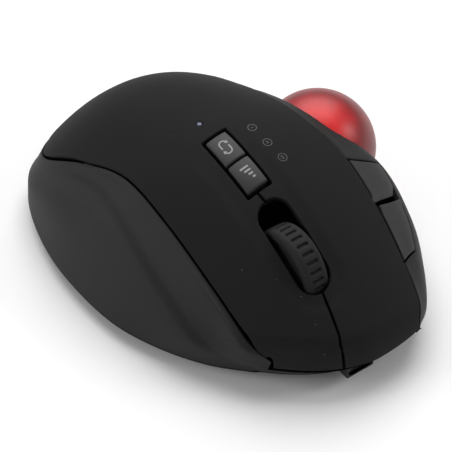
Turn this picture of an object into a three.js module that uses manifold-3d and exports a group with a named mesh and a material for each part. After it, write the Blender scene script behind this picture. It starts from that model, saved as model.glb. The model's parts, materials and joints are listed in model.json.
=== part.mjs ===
// A wireless thumb-ball mouse for the right hand, in millimetres.
// +X is the user's right, +Y is forward (the charging port end) and +Z is up.
// The origin is on the table, below the middle of the object's box.
import * as THREE from "three";
import { mergeVertices } from "three/addons/utils/BufferGeometryUtils.js";
import Module from "manifold-3d";

const wasm = await Module();
wasm.setup();

// ---------------------------------------------------------------- driving dimensions

const GAP = 0.35;                 // clearance between neighbouring mouldings
const WALL = 2.0;                 // moulded wall thickness
const NOSE_GAP = 0.8;             // room under the click plates' nose, more than they travel
const BASE_BOTTOM = 1.0;          // underside of the base, above the table
const BASE_TAPER = 3.2;           // how far the base's side slopes under, rim to underside
const FLOOR_TOP = 3.0;            // inside floor of the base
const RIM_TOP = 4.25;             // top of the base's outer rim
const FOOT_Z = 4.6;               // lower edge of the side panels
const LIP_Z = 10.0;               // lower edge of the click plates' nose
const NOSE_LENGTH = 4.0;          // how far back the nose starts to turn down
const NOSE_X = -8.0;              // where the front line reaches furthest forward
const NOSE_Y = 55.6;
const TOP_REAR = -71.6;
const TOP_HALF_WIDTH = 33;
const FLEX_Y = -13.0;             // line about which the click plates bend
const SEAM_X = 0.8;               // centre line of the wheel slot

const BALL = { centre: new THREE.Vector3(-34.6, -9.3, 24), radius: 17 };
const BALL_CLEARANCE = 0.7;
const CUP = { inner: 18, outer: 19.6, halfAngle: 1.08, hole: 4.5 };
const BEARING_RADIUS = 1.25;
const BEARING_SPREAD = 0.86;      // radians between a bearing and the cup's axis
const CUP_AXIS = new THREE.Vector3(0.62, 0, -0.78).normalize();
const SENSOR_AXIS = new THREE.Vector3(0.94, 0, -0.34).normalize();

const WHEEL = { y: 25.8, z: 26.4, radius: 12, width: 7.2, hubRadius: 9.8, axleRadius: 1.3 };
const CARRIER = { left: -5.2, right: 6.8, cheek: 1.4, bottom: 11.6 };
const SLOT = { rear: 12.7, front: 39.3, halfWidth: 5.0 };
const SMALL_HOLE = { x0: -3.9, x1: 4.2, y0: -12.2, y1: 9.4 };
const CAP = { clearance: 0.7, modeFront: -1.9, sensitivityRear: -0.5, proud: 0.2, thickness: 2.4 };
const LIGHT = { x: 0.6, y: -18.3, radius: 0.75 };
const INDICATORS = [[-9.9, -7.8], [-10.2, -1.1], [-10.8, 5.1]];
const INDICATOR_RADIUS = 1.3;

const SCREWS = [[22, -44], [-20, -46], [24.5, 8], [-24, 36]];
const SCREW = { headRadius: 2.5, shankRadius: 1.1, bore: 1.4, top: 13 };
const PORT = { x: -2.6, z: 7, halfWidth: 4, halfHeight: 1.4, front: 52.7 };
const POWER = { x: 2, y: -6, travel: 3 };
const BATTERY = { x0: -12, x1: 16, y0: -56, y1: -20, top: 9.4 };
const BOARD_TOP = 9.5;
const BOARD_THICKNESS = 1.6;
const SMALL_BOARD = { x0: -6, x1: 6.5, y0: -15, y1: 10.5, bottom: 34.9, top: 36.4 };
const CLICK_SWITCHES = { left: [-12, 37], right: [13, 31], top: 16.3 };
const FEET = [[-35, 20, 0.35], [20.5, 19.5, -0.9], [33, -24, 0.1], [14, -60, 1.35], [-33, -38, -0.5]];

// The top surface is z = back(y) - tilt(y) x - crown(y) x^2: a spine, a lean and a camber.
const BACK = [[-72, 10], [-66, 22], [-60, 29.5], [-54, 35], [-46, 40], [-36, 43.6], [-24, 45.4],
  [-8, 45.8], [10, 42.3], [26, 35.6], [40, 27.6], [56, 16.5]];
const TILT = [[-72, -0.05], [-48, -0.02], [-36, 0.03], [-22, 0.11], [-8, 0.2], [10, 0.24],
  [26, 0.22], [40, 0.17], [56, 0.08]];
const CROWN = [[-72, 0.017], [-48, 0.0165], [-36, 0.016], [-22, 0.013], [-8, 0.0117],
  [10, 0.0122], [40, 0.0125], [56, 0.011]];

// Body lines of the little-finger side, from the front corner to the middle of the rear.
// The parting line with the top is a plan line: its height comes from the top surface.
const RIGHT_PARTING = [[19.5, 41.2], [22.8, 36], [23.6, 20], [23.7, -2], [24, -22], [27.5, -39],
  [29.5, -56], [22, -64.5], [6, -69.5]];
const RIGHT_LINES = [
  [[20, 40.2, 9], [25, 35, 17.3], [26, 20, 24], [26.5, -2, 29.8], [27, -23, 32.4],
    [30.2, -40, 27.6], [31.4, -56.5, 17], [23.5, -65.6, 12], [6, -70.2, 11.2]],
  [[20.3, 39, 8], [26.5, 33, 13.5], [29, 20, 18.5], [30.8, -2, 23.5], [32.3, -24, 25.5],
    [34, -41, 21.6], [33.2, -57.3, 13.6], [24.4, -66.3, 10.2], [6, -70.7, 9.4]],
  [[20.7, 37.4, 7], [27.8, 30, 10], [33.4, 19, 12.6], [36.6, -2, 16.6], [38.6, -25, 18],
    [37.8, -43, 15.4], [34.2, -58, 10.2], [25, -66.9, 8], [6, -71.2, 7.4]],
  [[21.2, 35.2, FOOT_Z], [30, 25.4, FOOT_Z], [37.8, 11.6, FOOT_Z], [42.7, -4.4, FOOT_Z],
    [43.4, -26, FOOT_Z], [40.4, -44, FOOT_Z], [34.4, -58.5, FOOT_Z], [25, -67, FOOT_Z],
    [6, -71.4, FOOT_Z]],
];

// Body lines of the thumb side, in the same order.
const LEFT_PARTING = [[-22.5, 53.7], [-25.5, 49], [-27.5, 38], [-28.8, 25], [-29, 8], [-26.5, -6],
  [-26, -20], [-26, -36], [-22, -52], [-12, -64.5], [6, -69.5]];
const LEFT_LINES = [
  [[-22.9, 53, 9], [-28, 48.8, 13], [-33, 38.5, 20], [-38, 27, 24.5], [-40.2, 10, 31],
    [-31.5, -6, 39.3], [-29.5, -21, 37], [-29.5, -37, 29], [-25, -54, 19.6], [-14, -66, 12.6],
    [6, -70.2, 11.2]],
  [[-23.1, 52.2, 8], [-29, 48.6, 10.6], [-35.5, 38.8, 15], [-41.4, 26, 19], [-43.6, 10, 23],
    [-35.4, -6, 29], [-34.5, -22, 28.6], [-34.5, -39, 22.6], [-29, -56, 15], [-16, -67, 10.4],
    [6, -70.7, 9.4]],
  [[-23.3, 51.2, 7], [-29.4, 47.8, 8], [-36.6, 37.8, 9.8], [-43.6, 25, 11.6], [-46.6, 9, 13.2],
    [-43.5, -6, 14], [-42.5, -23, 14.6], [-40, -41, 13], [-32, -57.5, 10.4], [-18, -68, 8],
    [6, -71.2, 7.4]],
  [[-23.6, 48.7, FOOT_Z], [-29.6, 46.4, FOOT_Z], [-37.4, 37, FOOT_Z], [-44.8, 24, FOOT_Z],
    [-49.8, 8, FOOT_Z], [-51, -8, FOOT_Z], [-49.4, -25, FOOT_Z], [-43.2, -43, FOOT_Z],
    [-33.6, -58.5, FOOT_Z], [-19, -68.4, FOOT_Z], [6, -71.4, FOOT_Z]],
];

// Where the thumb buttons lie on the thumb side, as shares along (u) and down (v) its body lines.
const THUMB_SLANT = { shift: 0.012, lean: 0.12, rise: 0.14, fall: [0.3, 0.42] };
const THUMB_NOTCH = { u0: 0.168, u1: 0.382, v0: -0.05, v1: 0.25 };
const THUMB_BUTTONS = { split: 0.29, gapU: 0.008, gapV: 0.014 };

// ---------------------------------------------------------------- colours

const FINISH = {
  softTouch: { color: 0x2b2a2c, roughness: 0.72, metalness: 0 },
  panel: { color: 0x302f31, roughness: 0.6, metalness: 0 },
  satin: { color: 0x434245, roughness: 0.4, metalness: 0 },
  ball: { color: 0xb01824, roughness: 0.15, metalness: 0 },
  rubber: { color: 0x1c1c1d, roughness: 0.85, metalness: 0 },
  blackPlastic: { color: 0x17171a, roughness: 0.55, metalness: 0 },
  board: { color: 0x1f5a34, roughness: 0.5, metalness: 0 },
  steel: { color: 0xb9bcc0, roughness: 0.3, metalness: 1 },
  ceramic: { color: 0xe9e9e6, roughness: 0.2, metalness: 0 },
  clear: { color: 0xbfd6e6, roughness: 0.1, metalness: 0 },
  foot: { color: 0x3a3a3c, roughness: 0.45, metalness: 0 },
  foil: { color: 0xa9adb3, roughness: 0.35, metalness: 0.6 },
};

// ---------------------------------------------------------------- geometry helpers

function solid(geometry) {
  const plain = geometry.index ? geometry.toNonIndexed() : geometry.clone();
  plain.deleteAttribute("normal");
  plain.deleteAttribute("uv");
  const merged = mergeVertices(plain, 1e-4);
  return new wasm.Manifold(new wasm.Mesh({
    numProp: 3,
    vertProperties: new Float32Array(merged.attributes.position.array),
    triVerts: new Uint32Array(merged.index.array),
  }));
}

function geometryOf(body) {
  const { vertProperties, triVerts } = body.getMesh();
  const geometry = new THREE.BufferGeometry();
  geometry.setAttribute("position", new THREE.BufferAttribute(new Float32Array(vertProperties), 3));
  geometry.setIndex(new THREE.BufferAttribute(new Uint32Array(triVerts), 1));
  return geometry;
}

function box(x0, x1, y0, y1, z0, z1) {
  const geometry = new THREE.BoxGeometry(x1 - x0, y1 - y0, z1 - z0);
  return geometry.translate((x0 + x1) / 2, (y0 + y1) / 2, (z0 + z1) / 2);
}

function post(x, y, z0, z1, radius, sides = 20) {
  const geometry = new THREE.CylinderGeometry(radius, radius, z1 - z0, sides);
  return geometry.rotateX(Math.PI / 2).translate(x, y, (z0 + z1) / 2);
}

function rod(x0, x1, y, z, radius, sides = 20) {
  const geometry = new THREE.CylinderGeometry(radius, radius, x1 - x0, sides);
  return geometry.rotateZ(Math.PI / 2).translate((x0 + x1) / 2, y, z);
}

function prism(points, z0, z1) {
  const shape = new THREE.Shape(points.map(([x, y]) => new THREE.Vector2(x, y)));
  const geometry = new THREE.ExtrudeGeometry(shape, { depth: z1 - z0, bevelEnabled: false });
  return geometry.translate(0, 0, z0);
}

// A prism whose lower outline is drawn in by distance, so that its side slopes under.
function taperedPrism(points, z0, z1, distance) {
  const geometry = prism(points, z0, z1);
  const lower = insetOutline(points, distance);
  const position = geometry.attributes.position;
  for (let i = 0; i < position.count; i += 1) {
    if (position.getZ(i) > z0 + 0.01) continue;
    const away = points.map(([x, y]) => Math.hypot(x - position.getX(i), y - position.getY(i)));
    const [x, y] = lower[away.indexOf(Math.min(...away))];
    position.setXY(i, x, y);
  }
  return geometry;
}

// A box of nu x nv cells, one cell deep, whose corners (u, v, w in 0..1) are moved by place.
function bentBox(nu, nv, place) {
  const geometry = new THREE.BoxGeometry(1, 1, 1, nu, nv, 1).translate(0.5, 0.5, 0.5);
  const position = geometry.attributes.position;
  for (let i = 0; i < position.count; i += 1) {
    const point = place(position.getX(i), position.getY(i), position.getZ(i));
    position.setXYZ(i, point.x, point.y, point.z);
  }
  return geometry;
}

function unite(first, ...others) {
  return others.reduce((body, geometry) => body.add(solid(geometry)), solid(first));
}

function cut(body, ...tools) {
  return tools.reduce((left, geometry) => left.subtract(solid(geometry)), body);
}

const group = new THREE.Group();

function addMesh(name, shape, finish) {
  const geometry = shape.isBufferGeometry ? shape : geometryOf(shape);
  const mesh = new THREE.Mesh(geometry, new THREE.MeshStandardMaterial(FINISH[finish]));
  mesh.name = name;
  group.add(mesh);
  return mesh;
}

// ---------------------------------------------------------------- the outer surfaces

// A smooth curve through a few [position, value] pairs at uneven spacing.
function knotCurve(knots) {
  const slope = knots.map(([x, value], i) => {
    const [xa, a] = knots[Math.max(i - 1, 0)];
    const [xb, b] = knots[Math.min(i + 1, knots.length - 1)];
    if (i === 0 || i === knots.length - 1) return (b - a) / (xb - xa);
    return ((value - a) / (x - xa) * (xb - x) + (b - value) / (xb - x) * (x - xa)) / (xb - xa);
  });
  return (x) => {
    const at = THREE.MathUtils.clamp(x, knots[0][0], knots[knots.length - 1][0]);
    const i = Math.max(0, knots.slice(0, -1).findLastIndex(([start]) => start <= at));
    const [[xa, a], [xb, b]] = [knots[i], knots[i + 1]];
    const h = xb - xa;
    const t = (at - xa) / h;
    return (2 * t ** 3 - 3 * t ** 2 + 1) * a + (t ** 3 - 2 * t ** 2 + t) * h * slope[i]
      + (3 * t ** 2 - 2 * t ** 3) * b + (t ** 3 - t ** 2) * h * slope[i + 1];
  };
}

const back = knotCurve(BACK);
const tilt = knotCurve(TILT);
const crown = knotCurve(CROWN);

function domeZ(x, y) {
  return back(y) - tilt(y) * x - crown(y) * x * x;
}

function frontY(x) {
  const bend = x > NOSE_X ? 0.0187 : 0.009;
  return NOSE_Y - bend * (x - NOSE_X) ** 2;
}

// The dome, turned down over the nose along a quarter ellipse that ends at height lip.
function surfaceZ(x, y, inset, lip) {
  const edge = frontY(x) - inset;
  const q = THREE.MathUtils.clamp((y - edge + NOSE_LENGTH) / NOSE_LENGTH, 0, 1);
  const fall = domeZ(x, edge) - inset - lip;
  return domeZ(x, Math.min(y, edge)) - inset - fall * (1 - Math.sqrt(1 - q * q));
}

const topZ = (x, y) => surfaceZ(x, y, 0, LIP_Z + 0.4);
const insideZ = (x, y) => surfaceZ(x, y, WALL, LIP_Z);

function line(points) {
  return new THREE.CatmullRomCurve3(points.map((p) => new THREE.Vector3(...p)), false, "catmullrom", 0.5);
}

function bodyLines(parting, lines) {
  const top = parting.map(([x, y]) => [x, y, topZ(x, y) - 0.4]);
  return [top, ...lines].map(line);
}

const rightLines = bodyLines(RIGHT_PARTING, RIGHT_LINES);
const leftLines = bodyLines(LEFT_PARTING, LEFT_LINES);

// On the thumb side the columns of cells lean back round the buttons, so their ends lie aslant.
function slanted(u, v) {
  const { shift, lean, rise, fall } = THUMB_SLANT;
  const { smoothstep, clamp } = THREE.MathUtils;
  const reach = smoothstep(u, 0, rise) * (1 - smoothstep(u, fall[0], fall[1]));
  return u + reach * (shift + lean * clamp(v, 0, 0.3));
}

// A point on a side, u along its body lines and v down across them; above the first line it runs on.
function loftPoint(lines, u, v) {
  const along = lines === leftLines ? slanted(u, v) : u;
  const across = lines.map((curve) => curve.getPoint(THREE.MathUtils.clamp(along, 0, 1)));
  const section = new THREE.CatmullRomCurve3(across, false, "catmullrom", 0.5);
  const point = section.getPoint(THREE.MathUtils.clamp(v, 0, 1));
  return v < 0 ? point.addScaledVector(section.getTangent(0), v * 30) : point;
}

// Inward direction of a side: straight down along the parting line, square to the skin below it
// and level along the foot.
function inward(lines, side, u, v) {
  const step = 0.01;
  const along = loftPoint(lines, Math.min(u + step, 1), v).sub(loftPoint(lines, Math.max(u - step, 0), v));
  const down = loftPoint(lines, u, Math.min(v + step, 1)).sub(loftPoint(lines, u, Math.max(v - step, 0)));
  const normal = along.cross(down).normalize().multiplyScalar(-side);
  normal.z *= 1 - THREE.MathUtils.smoothstep(v, 0.75, 1);
  const share = THREE.MathUtils.smoothstep(v, 0, 0.25);
  return new THREE.Vector3(0, 0, -1).lerp(normal, share).normalize();
}

// A piece of a side's skin between shares u0..u1 along it and v0..v1 down it.
function sideSkin(lines, side, area, depth0, depth1, nu, nv) {
  return bentBox(nu, nv, (s, t, w) => {
    const u = THREE.MathUtils.lerp(area.u0, area.u1, s);
    const v = THREE.MathUtils.lerp(area.v0, area.v1, t);
    const depth = THREE.MathUtils.lerp(depth0, depth1, side > 0 ? 1 - w : w);
    return loftPoint(lines, u, v).addScaledVector(inward(lines, side, u, v), depth);
  });
}

const RIGHT = 1;
const LEFT = -1;

// ---------------------------------------------------------------- outlines seen from above

function sampled(curve, count) {
  return curve.getPoints(count).map((p) => [p.x, p.y]);
}

function frontArc(xStart, xEnd, count, inset) {
  return Array.from({ length: count }, (_, i) => {
    const x = THREE.MathUtils.lerp(xStart, xEnd, (i + 1) / (count + 1));
    return [x, frontY(x) - inset];
  });
}

function insetOutline(points, distance) {
  const turn = THREE.ShapeUtils.area(points.map(([x, y]) => ({ x, y }))) > 0 ? 1 : -1;
  return points.map(([x, y], i) => {
    const [xa, ya] = points[(i + points.length - 1) % points.length];
    const [xb, yb] = points[(i + 1) % points.length];
    const length = Math.hypot(xb - xa, yb - ya);
    return [x - turn * distance * (yb - ya) / length, y + turn * distance * (xb - xa) / length];
  });
}

function topOutline() {
  const left = sampled(leftLines[0], 26).reverse();
  const front = frontArc(LEFT_PARTING[0][0], RIGHT_PARTING[0][0], 10, 0);
  return [...sampled(rightLines[0], 24), ...left.slice(1), ...front];
}

function baseOutline() {
  const left = sampled(leftLines[4], 20).reverse();
  const front = frontArc(-23.6, 21.2, 8, 5.2);
  return [...sampled(rightLines[4], 18), ...left.slice(1), ...front];
}

function racetrack(x, y0, y1, radius, steps = 10) {
  const points = [];
  for (const [y, start] of [[y1 - radius, 0], [y0 + radius, Math.PI]]) {
    for (let i = 0; i <= steps; i += 1) {
      const angle = start + Math.PI * i / steps;
      points.push([x + radius * Math.cos(angle), y + radius * Math.sin(angle)]);
    }
  }
  return points;
}

// ---------------------------------------------------------------- top mouldings

// How far forward a row of the slab lies: even steps, then ever closer ones round the nose.
function rowY(x, v) {
  const even = 0.8;
  const noseStart = frontY(x) - NOSE_LENGTH;
  if (v < even) return THREE.MathUtils.lerp(TOP_REAR, noseStart, v / even);
  return noseStart + NOSE_LENGTH * Math.sin((v - even) / (1 - even) * Math.PI / 2);
}

// The whole top as one slab, wide enough for the outline to be cut from it.
function topSlab() {
  return bentBox(14, 25, (u, v, w) => {
    const x = THREE.MathUtils.lerp(-TOP_HALF_WIDTH, TOP_HALF_WIDTH, u);
    const y = rowY(x, v);
    return new THREE.Vector3(x, y, w > 0.5 ? topZ(x, y) : insideZ(x, y));
  });
}

// The seam between the two click plates: through the wheel slot, then slightly to the right.
function seamOutline(side) {
  const shift = side * GAP / 2;
  const seam = [[SEAM_X + shift, FLEX_Y - 5], [SEAM_X + shift, 40], [3.7 + shift, 54], [3.7 + shift, 70]];
  return [...seam, [side * 80, 70], [side * 80, FLEX_Y - 5]];
}

function clickPlate(top, side, postX, postY) {
  let plate = top.subtract(solid(box(-80, 80, -90, FLEX_Y + GAP / 2, 0, 80)));
  plate = plate.intersect(solid(prism(seamOutline(side), 0, 80)));
  const foot = box(postX - 1.5, postX + 1.5, postY - 1.5, postY + 1.5, 18.2, insideZ(postX, postY) + 0.8);
  return plate.add(solid(foot));
}

function addTop() {
  const outline = insetOutline(topOutline(), GAP);
  let top = solid(topSlab()).intersect(solid(prism(outline, 0, 80)));
  const hole = SMALL_HOLE;
  top = cut(top, box(hole.x0, hole.x1, hole.y0, hole.y1, 20, 80),
    prism(racetrack(SEAM_X, SLOT.rear, SLOT.front, SLOT.halfWidth), 0, 80));

  let palm = top.subtract(solid(box(-80, 80, FLEX_Y - GAP / 2, 90, 0, 80)));
  for (const [x, y] of SCREWS.slice(0, 2)) {
    palm = palm.add(solid(post(x, y, 8.2, insideZ(x, y) - 1.2, 2.6)));
    palm = cut(palm, post(x, y, 8, 16, SCREW.bore, 12));
  }
  addMesh("palm_cover", cut(palm, post(LIGHT.x, LIGHT.y, 30, 60, LIGHT.radius + GAP, 12)), "softTouch");

  const left = clickPlate(top, LEFT, ...CLICK_SWITCHES.left);
  const wells = INDICATORS.map(([x, y]) => post(x, y, 30, 60, INDICATOR_RADIUS + GAP, 12));
  addMesh("left_button", cut(left, ...wells), "softTouch");
  addMesh("right_button", clickPlate(top, RIGHT, ...CLICK_SWITCHES.right), "softTouch");
}

function addLights() {
  const lightTop = topZ(LIGHT.x, LIGHT.y);
  addMesh("status_light", post(LIGHT.x, LIGHT.y, lightTop - 5, lightTop + 0.15, LIGHT.radius, 12), "clear");
  INDICATORS.forEach(([x, y], i) => {
    const top = topZ(x, y) - 0.05;
    addMesh(`indicator_${i + 1}`, post(x, y, top - WALL, top, INDICATOR_RADIUS, 12), "clear");
  });
}

// A small cap that follows the top surface, with a stem that reaches down to its switch.
function smallCap(y0, y1) {
  const [x0, x1] = [SMALL_HOLE.x0 + CAP.clearance, SMALL_HOLE.x1 - CAP.clearance];
  const plate = bentBox(2, 3, (u, v, w) => {
    const x = THREE.MathUtils.lerp(x0, x1, u);
    const y = THREE.MathUtils.lerp(y0, y1, v);
    return new THREE.Vector3(x, y, domeZ(x, y) + CAP.proud - (1 - w) * CAP.thickness);
  });
  const [x, y] = [(x0 + x1) / 2, (y0 + y1) / 2];
  return unite(plate, box(x - 1, x + 1, y - 1, y + 1, 40.9, domeZ(x, y) - 1.5));
}

function addSmallButtons() {
  const mode = smallCap(SMALL_HOLE.y0 + CAP.clearance, CAP.modeFront);
  const sensitivity = smallCap(CAP.sensitivityRear, SMALL_HOLE.y1 - CAP.clearance);
  addMesh("mode_button", mode, "satin");
  addMesh("sensitivity_button", sensitivity, "satin");
}

// ---------------------------------------------------------------- sides and base

function addSides() {
  const whole = { u0: 0, u1: 0.9965, v0: 0, v1: 1 };
  const aheadOfWheel = solid(box(-80, 80, 25, 90, 0, 80));
  const nose = solid(prism(topOutline(), LIP_Z - NOSE_GAP, 80)).intersect(aheadOfWheel);
  const pinky = solid(sideSkin(rightLines, RIGHT, whole, 0, WALL, 20, 8));
  addMesh("pinky_panel", pinky.subtract(nose), "panel");

  const { centre, radius } = BALL;
  const ball = new THREE.SphereGeometry(radius + BALL_CLEARANCE, 32, 18).translate(...centre);
  const notch = sideSkin(leftLines, LEFT, THUMB_NOTCH, -2, 6, 16, 6);
  const panel = solid(sideSkin(leftLines, LEFT, whole, 0, WALL, 24, 8)).subtract(nose);
  addMesh("thumb_panel", cut(panel, notch, ball), "panel");
}

function addThumbButtons() {
  const { split, gapU, gapV } = THUMB_BUTTONS;
  const across = { v0: gapV * 0.6, v1: THUMB_NOTCH.v1 - gapV };
  const front = { ...across, u0: THUMB_NOTCH.u0 + gapU, u1: split - gapU };
  const rear = { ...across, u0: split + gapU, u1: THUMB_NOTCH.u1 - gapU };
  addMesh("forward_button", sideSkin(leftLines, LEFT, front, -0.2, WALL, 8, 5), "satin");
  addMesh("back_button", sideSkin(leftLines, LEFT, rear, -0.2, WALL, 8, 5), "satin");
}

// The set-back strip under the click plates, with a small tab round the charging port.
function addFrontBezel() {
  const [top, thickness, setBack, rake] = [LIP_Z - NOSE_GAP, 1.8, 0.8, 4.4];
  const strip = bentBox(12, 2, (u, v, w) => {
    const x = THREE.MathUtils.lerp(-21.6 - 1.1 * v, 18.2 + 1.7 * v, u);
    const y = frontY(x) - setBack - rake * v - (1 - w) * thickness;
    return new THREE.Vector3(x, y, THREE.MathUtils.lerp(top, FOOT_Z, v));
  });
  const { x, z, halfWidth, halfHeight, front } = PORT;
  const [w, below, above] = [halfWidth + 0.9, z - halfHeight - 0.8, z + halfHeight + 0.7];
  const tab = box(x - w, x + w, 47, front, below, above);
  const opening = box(x - halfWidth, x + halfWidth, 40, 60, z - halfHeight, z + halfHeight);
  addMesh("front_bezel", unite(strip, tab).subtract(solid(opening)), "panel");
}

function addBase() {
  const outline = baseOutline();
  let base = solid(taperedPrism(outline, BASE_BOTTOM, RIM_TOP, BASE_TAPER));
  base = cut(base, prism(insetOutline(outline, WALL), FLOOR_TOP, RIM_TOP + 1));
  for (const [x, y] of SCREWS) base = base.add(solid(post(x, y, FLOOR_TOP - 0.2, 7.8, 3.4)));
  for (const [x, y] of SCREWS) {
    base = cut(base, post(x, y, 0, FLOOR_TOP, SCREW.headRadius + 0.4), post(x, y, 0, 9, SCREW.bore, 12));
  }
  const { x, y, travel } = POWER;
  const window = box(x - 2.5 - GAP, x + 2.5 + GAP + travel, y - 1.8 - GAP, y + 1.8 + GAP, 0, 4);
  base = cut(base, window, post(BALL.centre.x, BALL.centre.y, 0, 4, CUP.hole));
  addMesh("base", base, "blackPlastic");
}

function addFeet() {
  FEET.forEach(([x, y, angle], i) => {
    const shape = prism(racetrack(0, -7.5, 7.5, 3, 8), 0, BASE_BOTTOM - 0.3);
    addMesh(`foot_${i + 1}`, shape.rotateZ(angle).translate(x, y, 0), "foot");
  });
}

function addScrews() {
  SCREWS.forEach(([x, y], i) => {
    const head = post(x, y, 1.5, 2.7, SCREW.headRadius);
    const screw = unite(head, post(x, y, 2.6, SCREW.top, SCREW.shankRadius, 12));
    addMesh(`screw_${i + 1}`, cut(screw, box(x - 1.6, x + 1.6, y - 0.3, y + 0.3, 1, 2.1),
      box(x - 0.3, x + 0.3, y - 1.6, y + 1.6, 1, 2.1)), "steel");
  });
}

// ---------------------------------------------------------------- ball and its sensor

function aimed(geometry, direction, distance) {
  const turn = new THREE.Quaternion().setFromUnitVectors(new THREE.Vector3(0, 0, 1), direction);
  geometry.applyQuaternion(turn);
  return geometry.translate(...BALL.centre.clone().addScaledVector(direction, distance));
}

// Three bearings stand evenly round the cup's axis, BEARING_SPREAD away from it.
function bearingDirection(index) {
  const angle = Math.PI / 2 + index * 2 * Math.PI / 3;
  const local = new THREE.Vector3().setFromSphericalCoords(1, BEARING_SPREAD, angle);
  const up = new THREE.Vector3(0, 1, 0);
  return local.applyQuaternion(new THREE.Quaternion().setFromUnitVectors(up, CUP_AXIS));
}

function bearingCentre(index) {
  const distance = BALL.radius + 0.3 + BEARING_RADIUS;
  return BALL.centre.clone().addScaledVector(bearingDirection(index), distance);
}

function cupArc(radius) {
  const steps = 8;
  return Array.from({ length: steps + 1 }, (_, i) => {
    const angle = CUP.halfAngle * i / steps;
    return new THREE.Vector2(radius * Math.sin(angle), radius * Math.cos(angle));
  });
}

function cupShell() {
  const profile = [...cupArc(CUP.inner), ...cupArc(CUP.outer).reverse()];
  return aimed(new THREE.LatheGeometry(profile, 24).rotateX(Math.PI / 2), CUP_AXIS, 0);
}

function addBall() {
  const { centre, radius } = BALL;
  addMesh("trackball", new THREE.SphereGeometry(radius, 28, 18).translate(...centre), "ball");

  const pockets = [0, 1, 2].map((i) => new THREE.SphereGeometry(BEARING_RADIUS + 0.3, 8, 6)
    .translate(...bearingCentre(i)));
  const window = aimed(new THREE.CylinderGeometry(2.6, 2.6, 6, 12).rotateX(Math.PI / 2), SENSOR_AXIS, 19);
  const inside = new THREE.SphereGeometry(CUP.inner, 18, 12).translate(...centre);
  const stand = cut(solid(post(centre.x + 1, centre.y, FLOOR_TOP + 0.3, 8, 7.5)), inside);
  const drain = post(centre.x, centre.y, 0, 12, CUP.hole);
  addMesh("ball_cup", cut(solid(cupShell()).add(stand), window, drain, ...pockets), "blackPlastic");

  [0, 1, 2].forEach((i) => {
    const bearing = new THREE.SphereGeometry(BEARING_RADIUS, 10, 6).translate(...bearingCentre(i));
    addMesh(`ball_bearing_${i + 1}`, bearing, "ceramic");
  });
}

function addSensor() {
  const lens = new THREE.CylinderGeometry(2.2, 3.2, 2.4, 16).rotateX(-Math.PI / 2);
  addMesh("sensor_lens", aimed(lens, SENSOR_AXIS, 21.4), "clear");
  addMesh("ball_sensor", aimed(new THREE.BoxGeometry(8, 9, 3.2), SENSOR_AXIS, 24.6), "blackPlastic");
  addMesh("sensor_board", aimed(new THREE.BoxGeometry(17, 18, 1.6), SENSOR_AXIS, 27.4), "board");
}

// ---------------------------------------------------------------- wheel

// A shape turned about the wheel's axle, from [radius, sideways] points.
function turned(profile, sides) {
  const lathe = new THREE.LatheGeometry(profile.map((p) => new THREE.Vector2(...p)), sides);
  return lathe.rotateZ(-Math.PI / 2).translate(SEAM_X, WHEEL.y, WHEEL.z);
}

function addWheel() {
  const { y, z, radius, width, hubRadius, axleRadius } = WHEEL;
  const half = width / 2;
  const [inner, shoulder, crest] = [hubRadius + 0.3, radius - 1.2, radius - 0.2];
  const tyreProfile = [[inner, -half + 0.4], [shoulder, -half], [crest, -half + 1.2], [radius, 0],
    [crest, half - 1.2], [shoulder, half], [inner, half - 0.4], [inner, -half + 0.4]];
  const side = half - 0.3;
  const hubProfile = [[0, -side], [hubRadius, -side], [hubRadius, side], [0, side]];
  addMesh("wheel_tyre", turned(tyreProfile, 32), "rubber");
  const bore = rod(-10, 10, y, z, axleRadius + 0.3, 12);
  addMesh("wheel_hub", cut(solid(turned(hubProfile, 28)), bore), "satin");
  addMesh("wheel_axle", rod(-7.5, 8.2, y, z, axleRadius, 12), "steel");
}

function addWheelCarrier() {
  const { y, z, axleRadius } = WHEEL;
  const { left, right, cheek, bottom } = CARRIER;
  const [y0, y1, top] = [y - 4.5, y + 4.5, z + 1.7];
  const floor = box(left, right, y0, y1, bottom, bottom + 1.3);
  const leftCheek = box(left, left + cheek, y0, y1, bottom + 0.4, top);
  const rightCheek = box(right - cheek, right, y0, y1, bottom + 0.4, top);
  const arm = box(-11, left + 0.1, y - 3.8, y + 0.2, 15, 16.5);
  const bore = rod(-10, 10, y, z, axleRadius + 0.3, 12);
  addMesh("wheel_carrier", cut(unite(floor, leftCheek, rightCheek, arm), bore), "blackPlastic");
  const encoder = solid(box(-13.5, left - 0.3, y - 4, y + 4, z - 6, z + 4));
  addMesh("wheel_encoder", cut(encoder, rod(-8, 0, y, z, axleRadius + 0.3, 12)), "satin");
}

// ---------------------------------------------------------------- boards, switches, battery

function addBoards() {
  const outline = [[-19, 10], [19, 10], [19, 33], [8, 44.3], [-19, 44.3]];
  const { x0, x1, y0, y1, bottom, top } = SMALL_BOARD;
  addMesh("main_board", prism(outline, BOARD_TOP - BOARD_THICKNESS, BOARD_TOP), "board");
  addMesh("button_board", box(x0, x1, y0, y1, bottom, top), "board");
  addMesh("thumb_board", tiltedAtThumb(new THREE.BoxGeometry(6.4, 25, 1.4), 0, -7.6), "board");
}

// Places a piece below the thumb buttons, sloping down forwards as they do.
function tiltedAtThumb(geometry, along, below) {
  return geometry.translate(0, along, below).rotateX(-0.43).translate(-31.2, 26, 27.4);
}

function clickSwitch([x, y]) {
  const { top } = CLICK_SWITCHES;
  const body = box(x - 2.9, x + 2.9, y - 6.4, y + 6.4, BOARD_TOP + 0.3, top);
  return unite(body, box(x - 0.6, x + 0.6, y - 1.4, y + 1.4, top - 0.1, top + 0.9));
}

function tactSwitch(height) {
  const body = box(-3, 3, -3, 3, 0, height - 0.7);
  return geometryOf(unite(body, post(0, 0, height - 1, height, 1.6, 12)));
}

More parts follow.
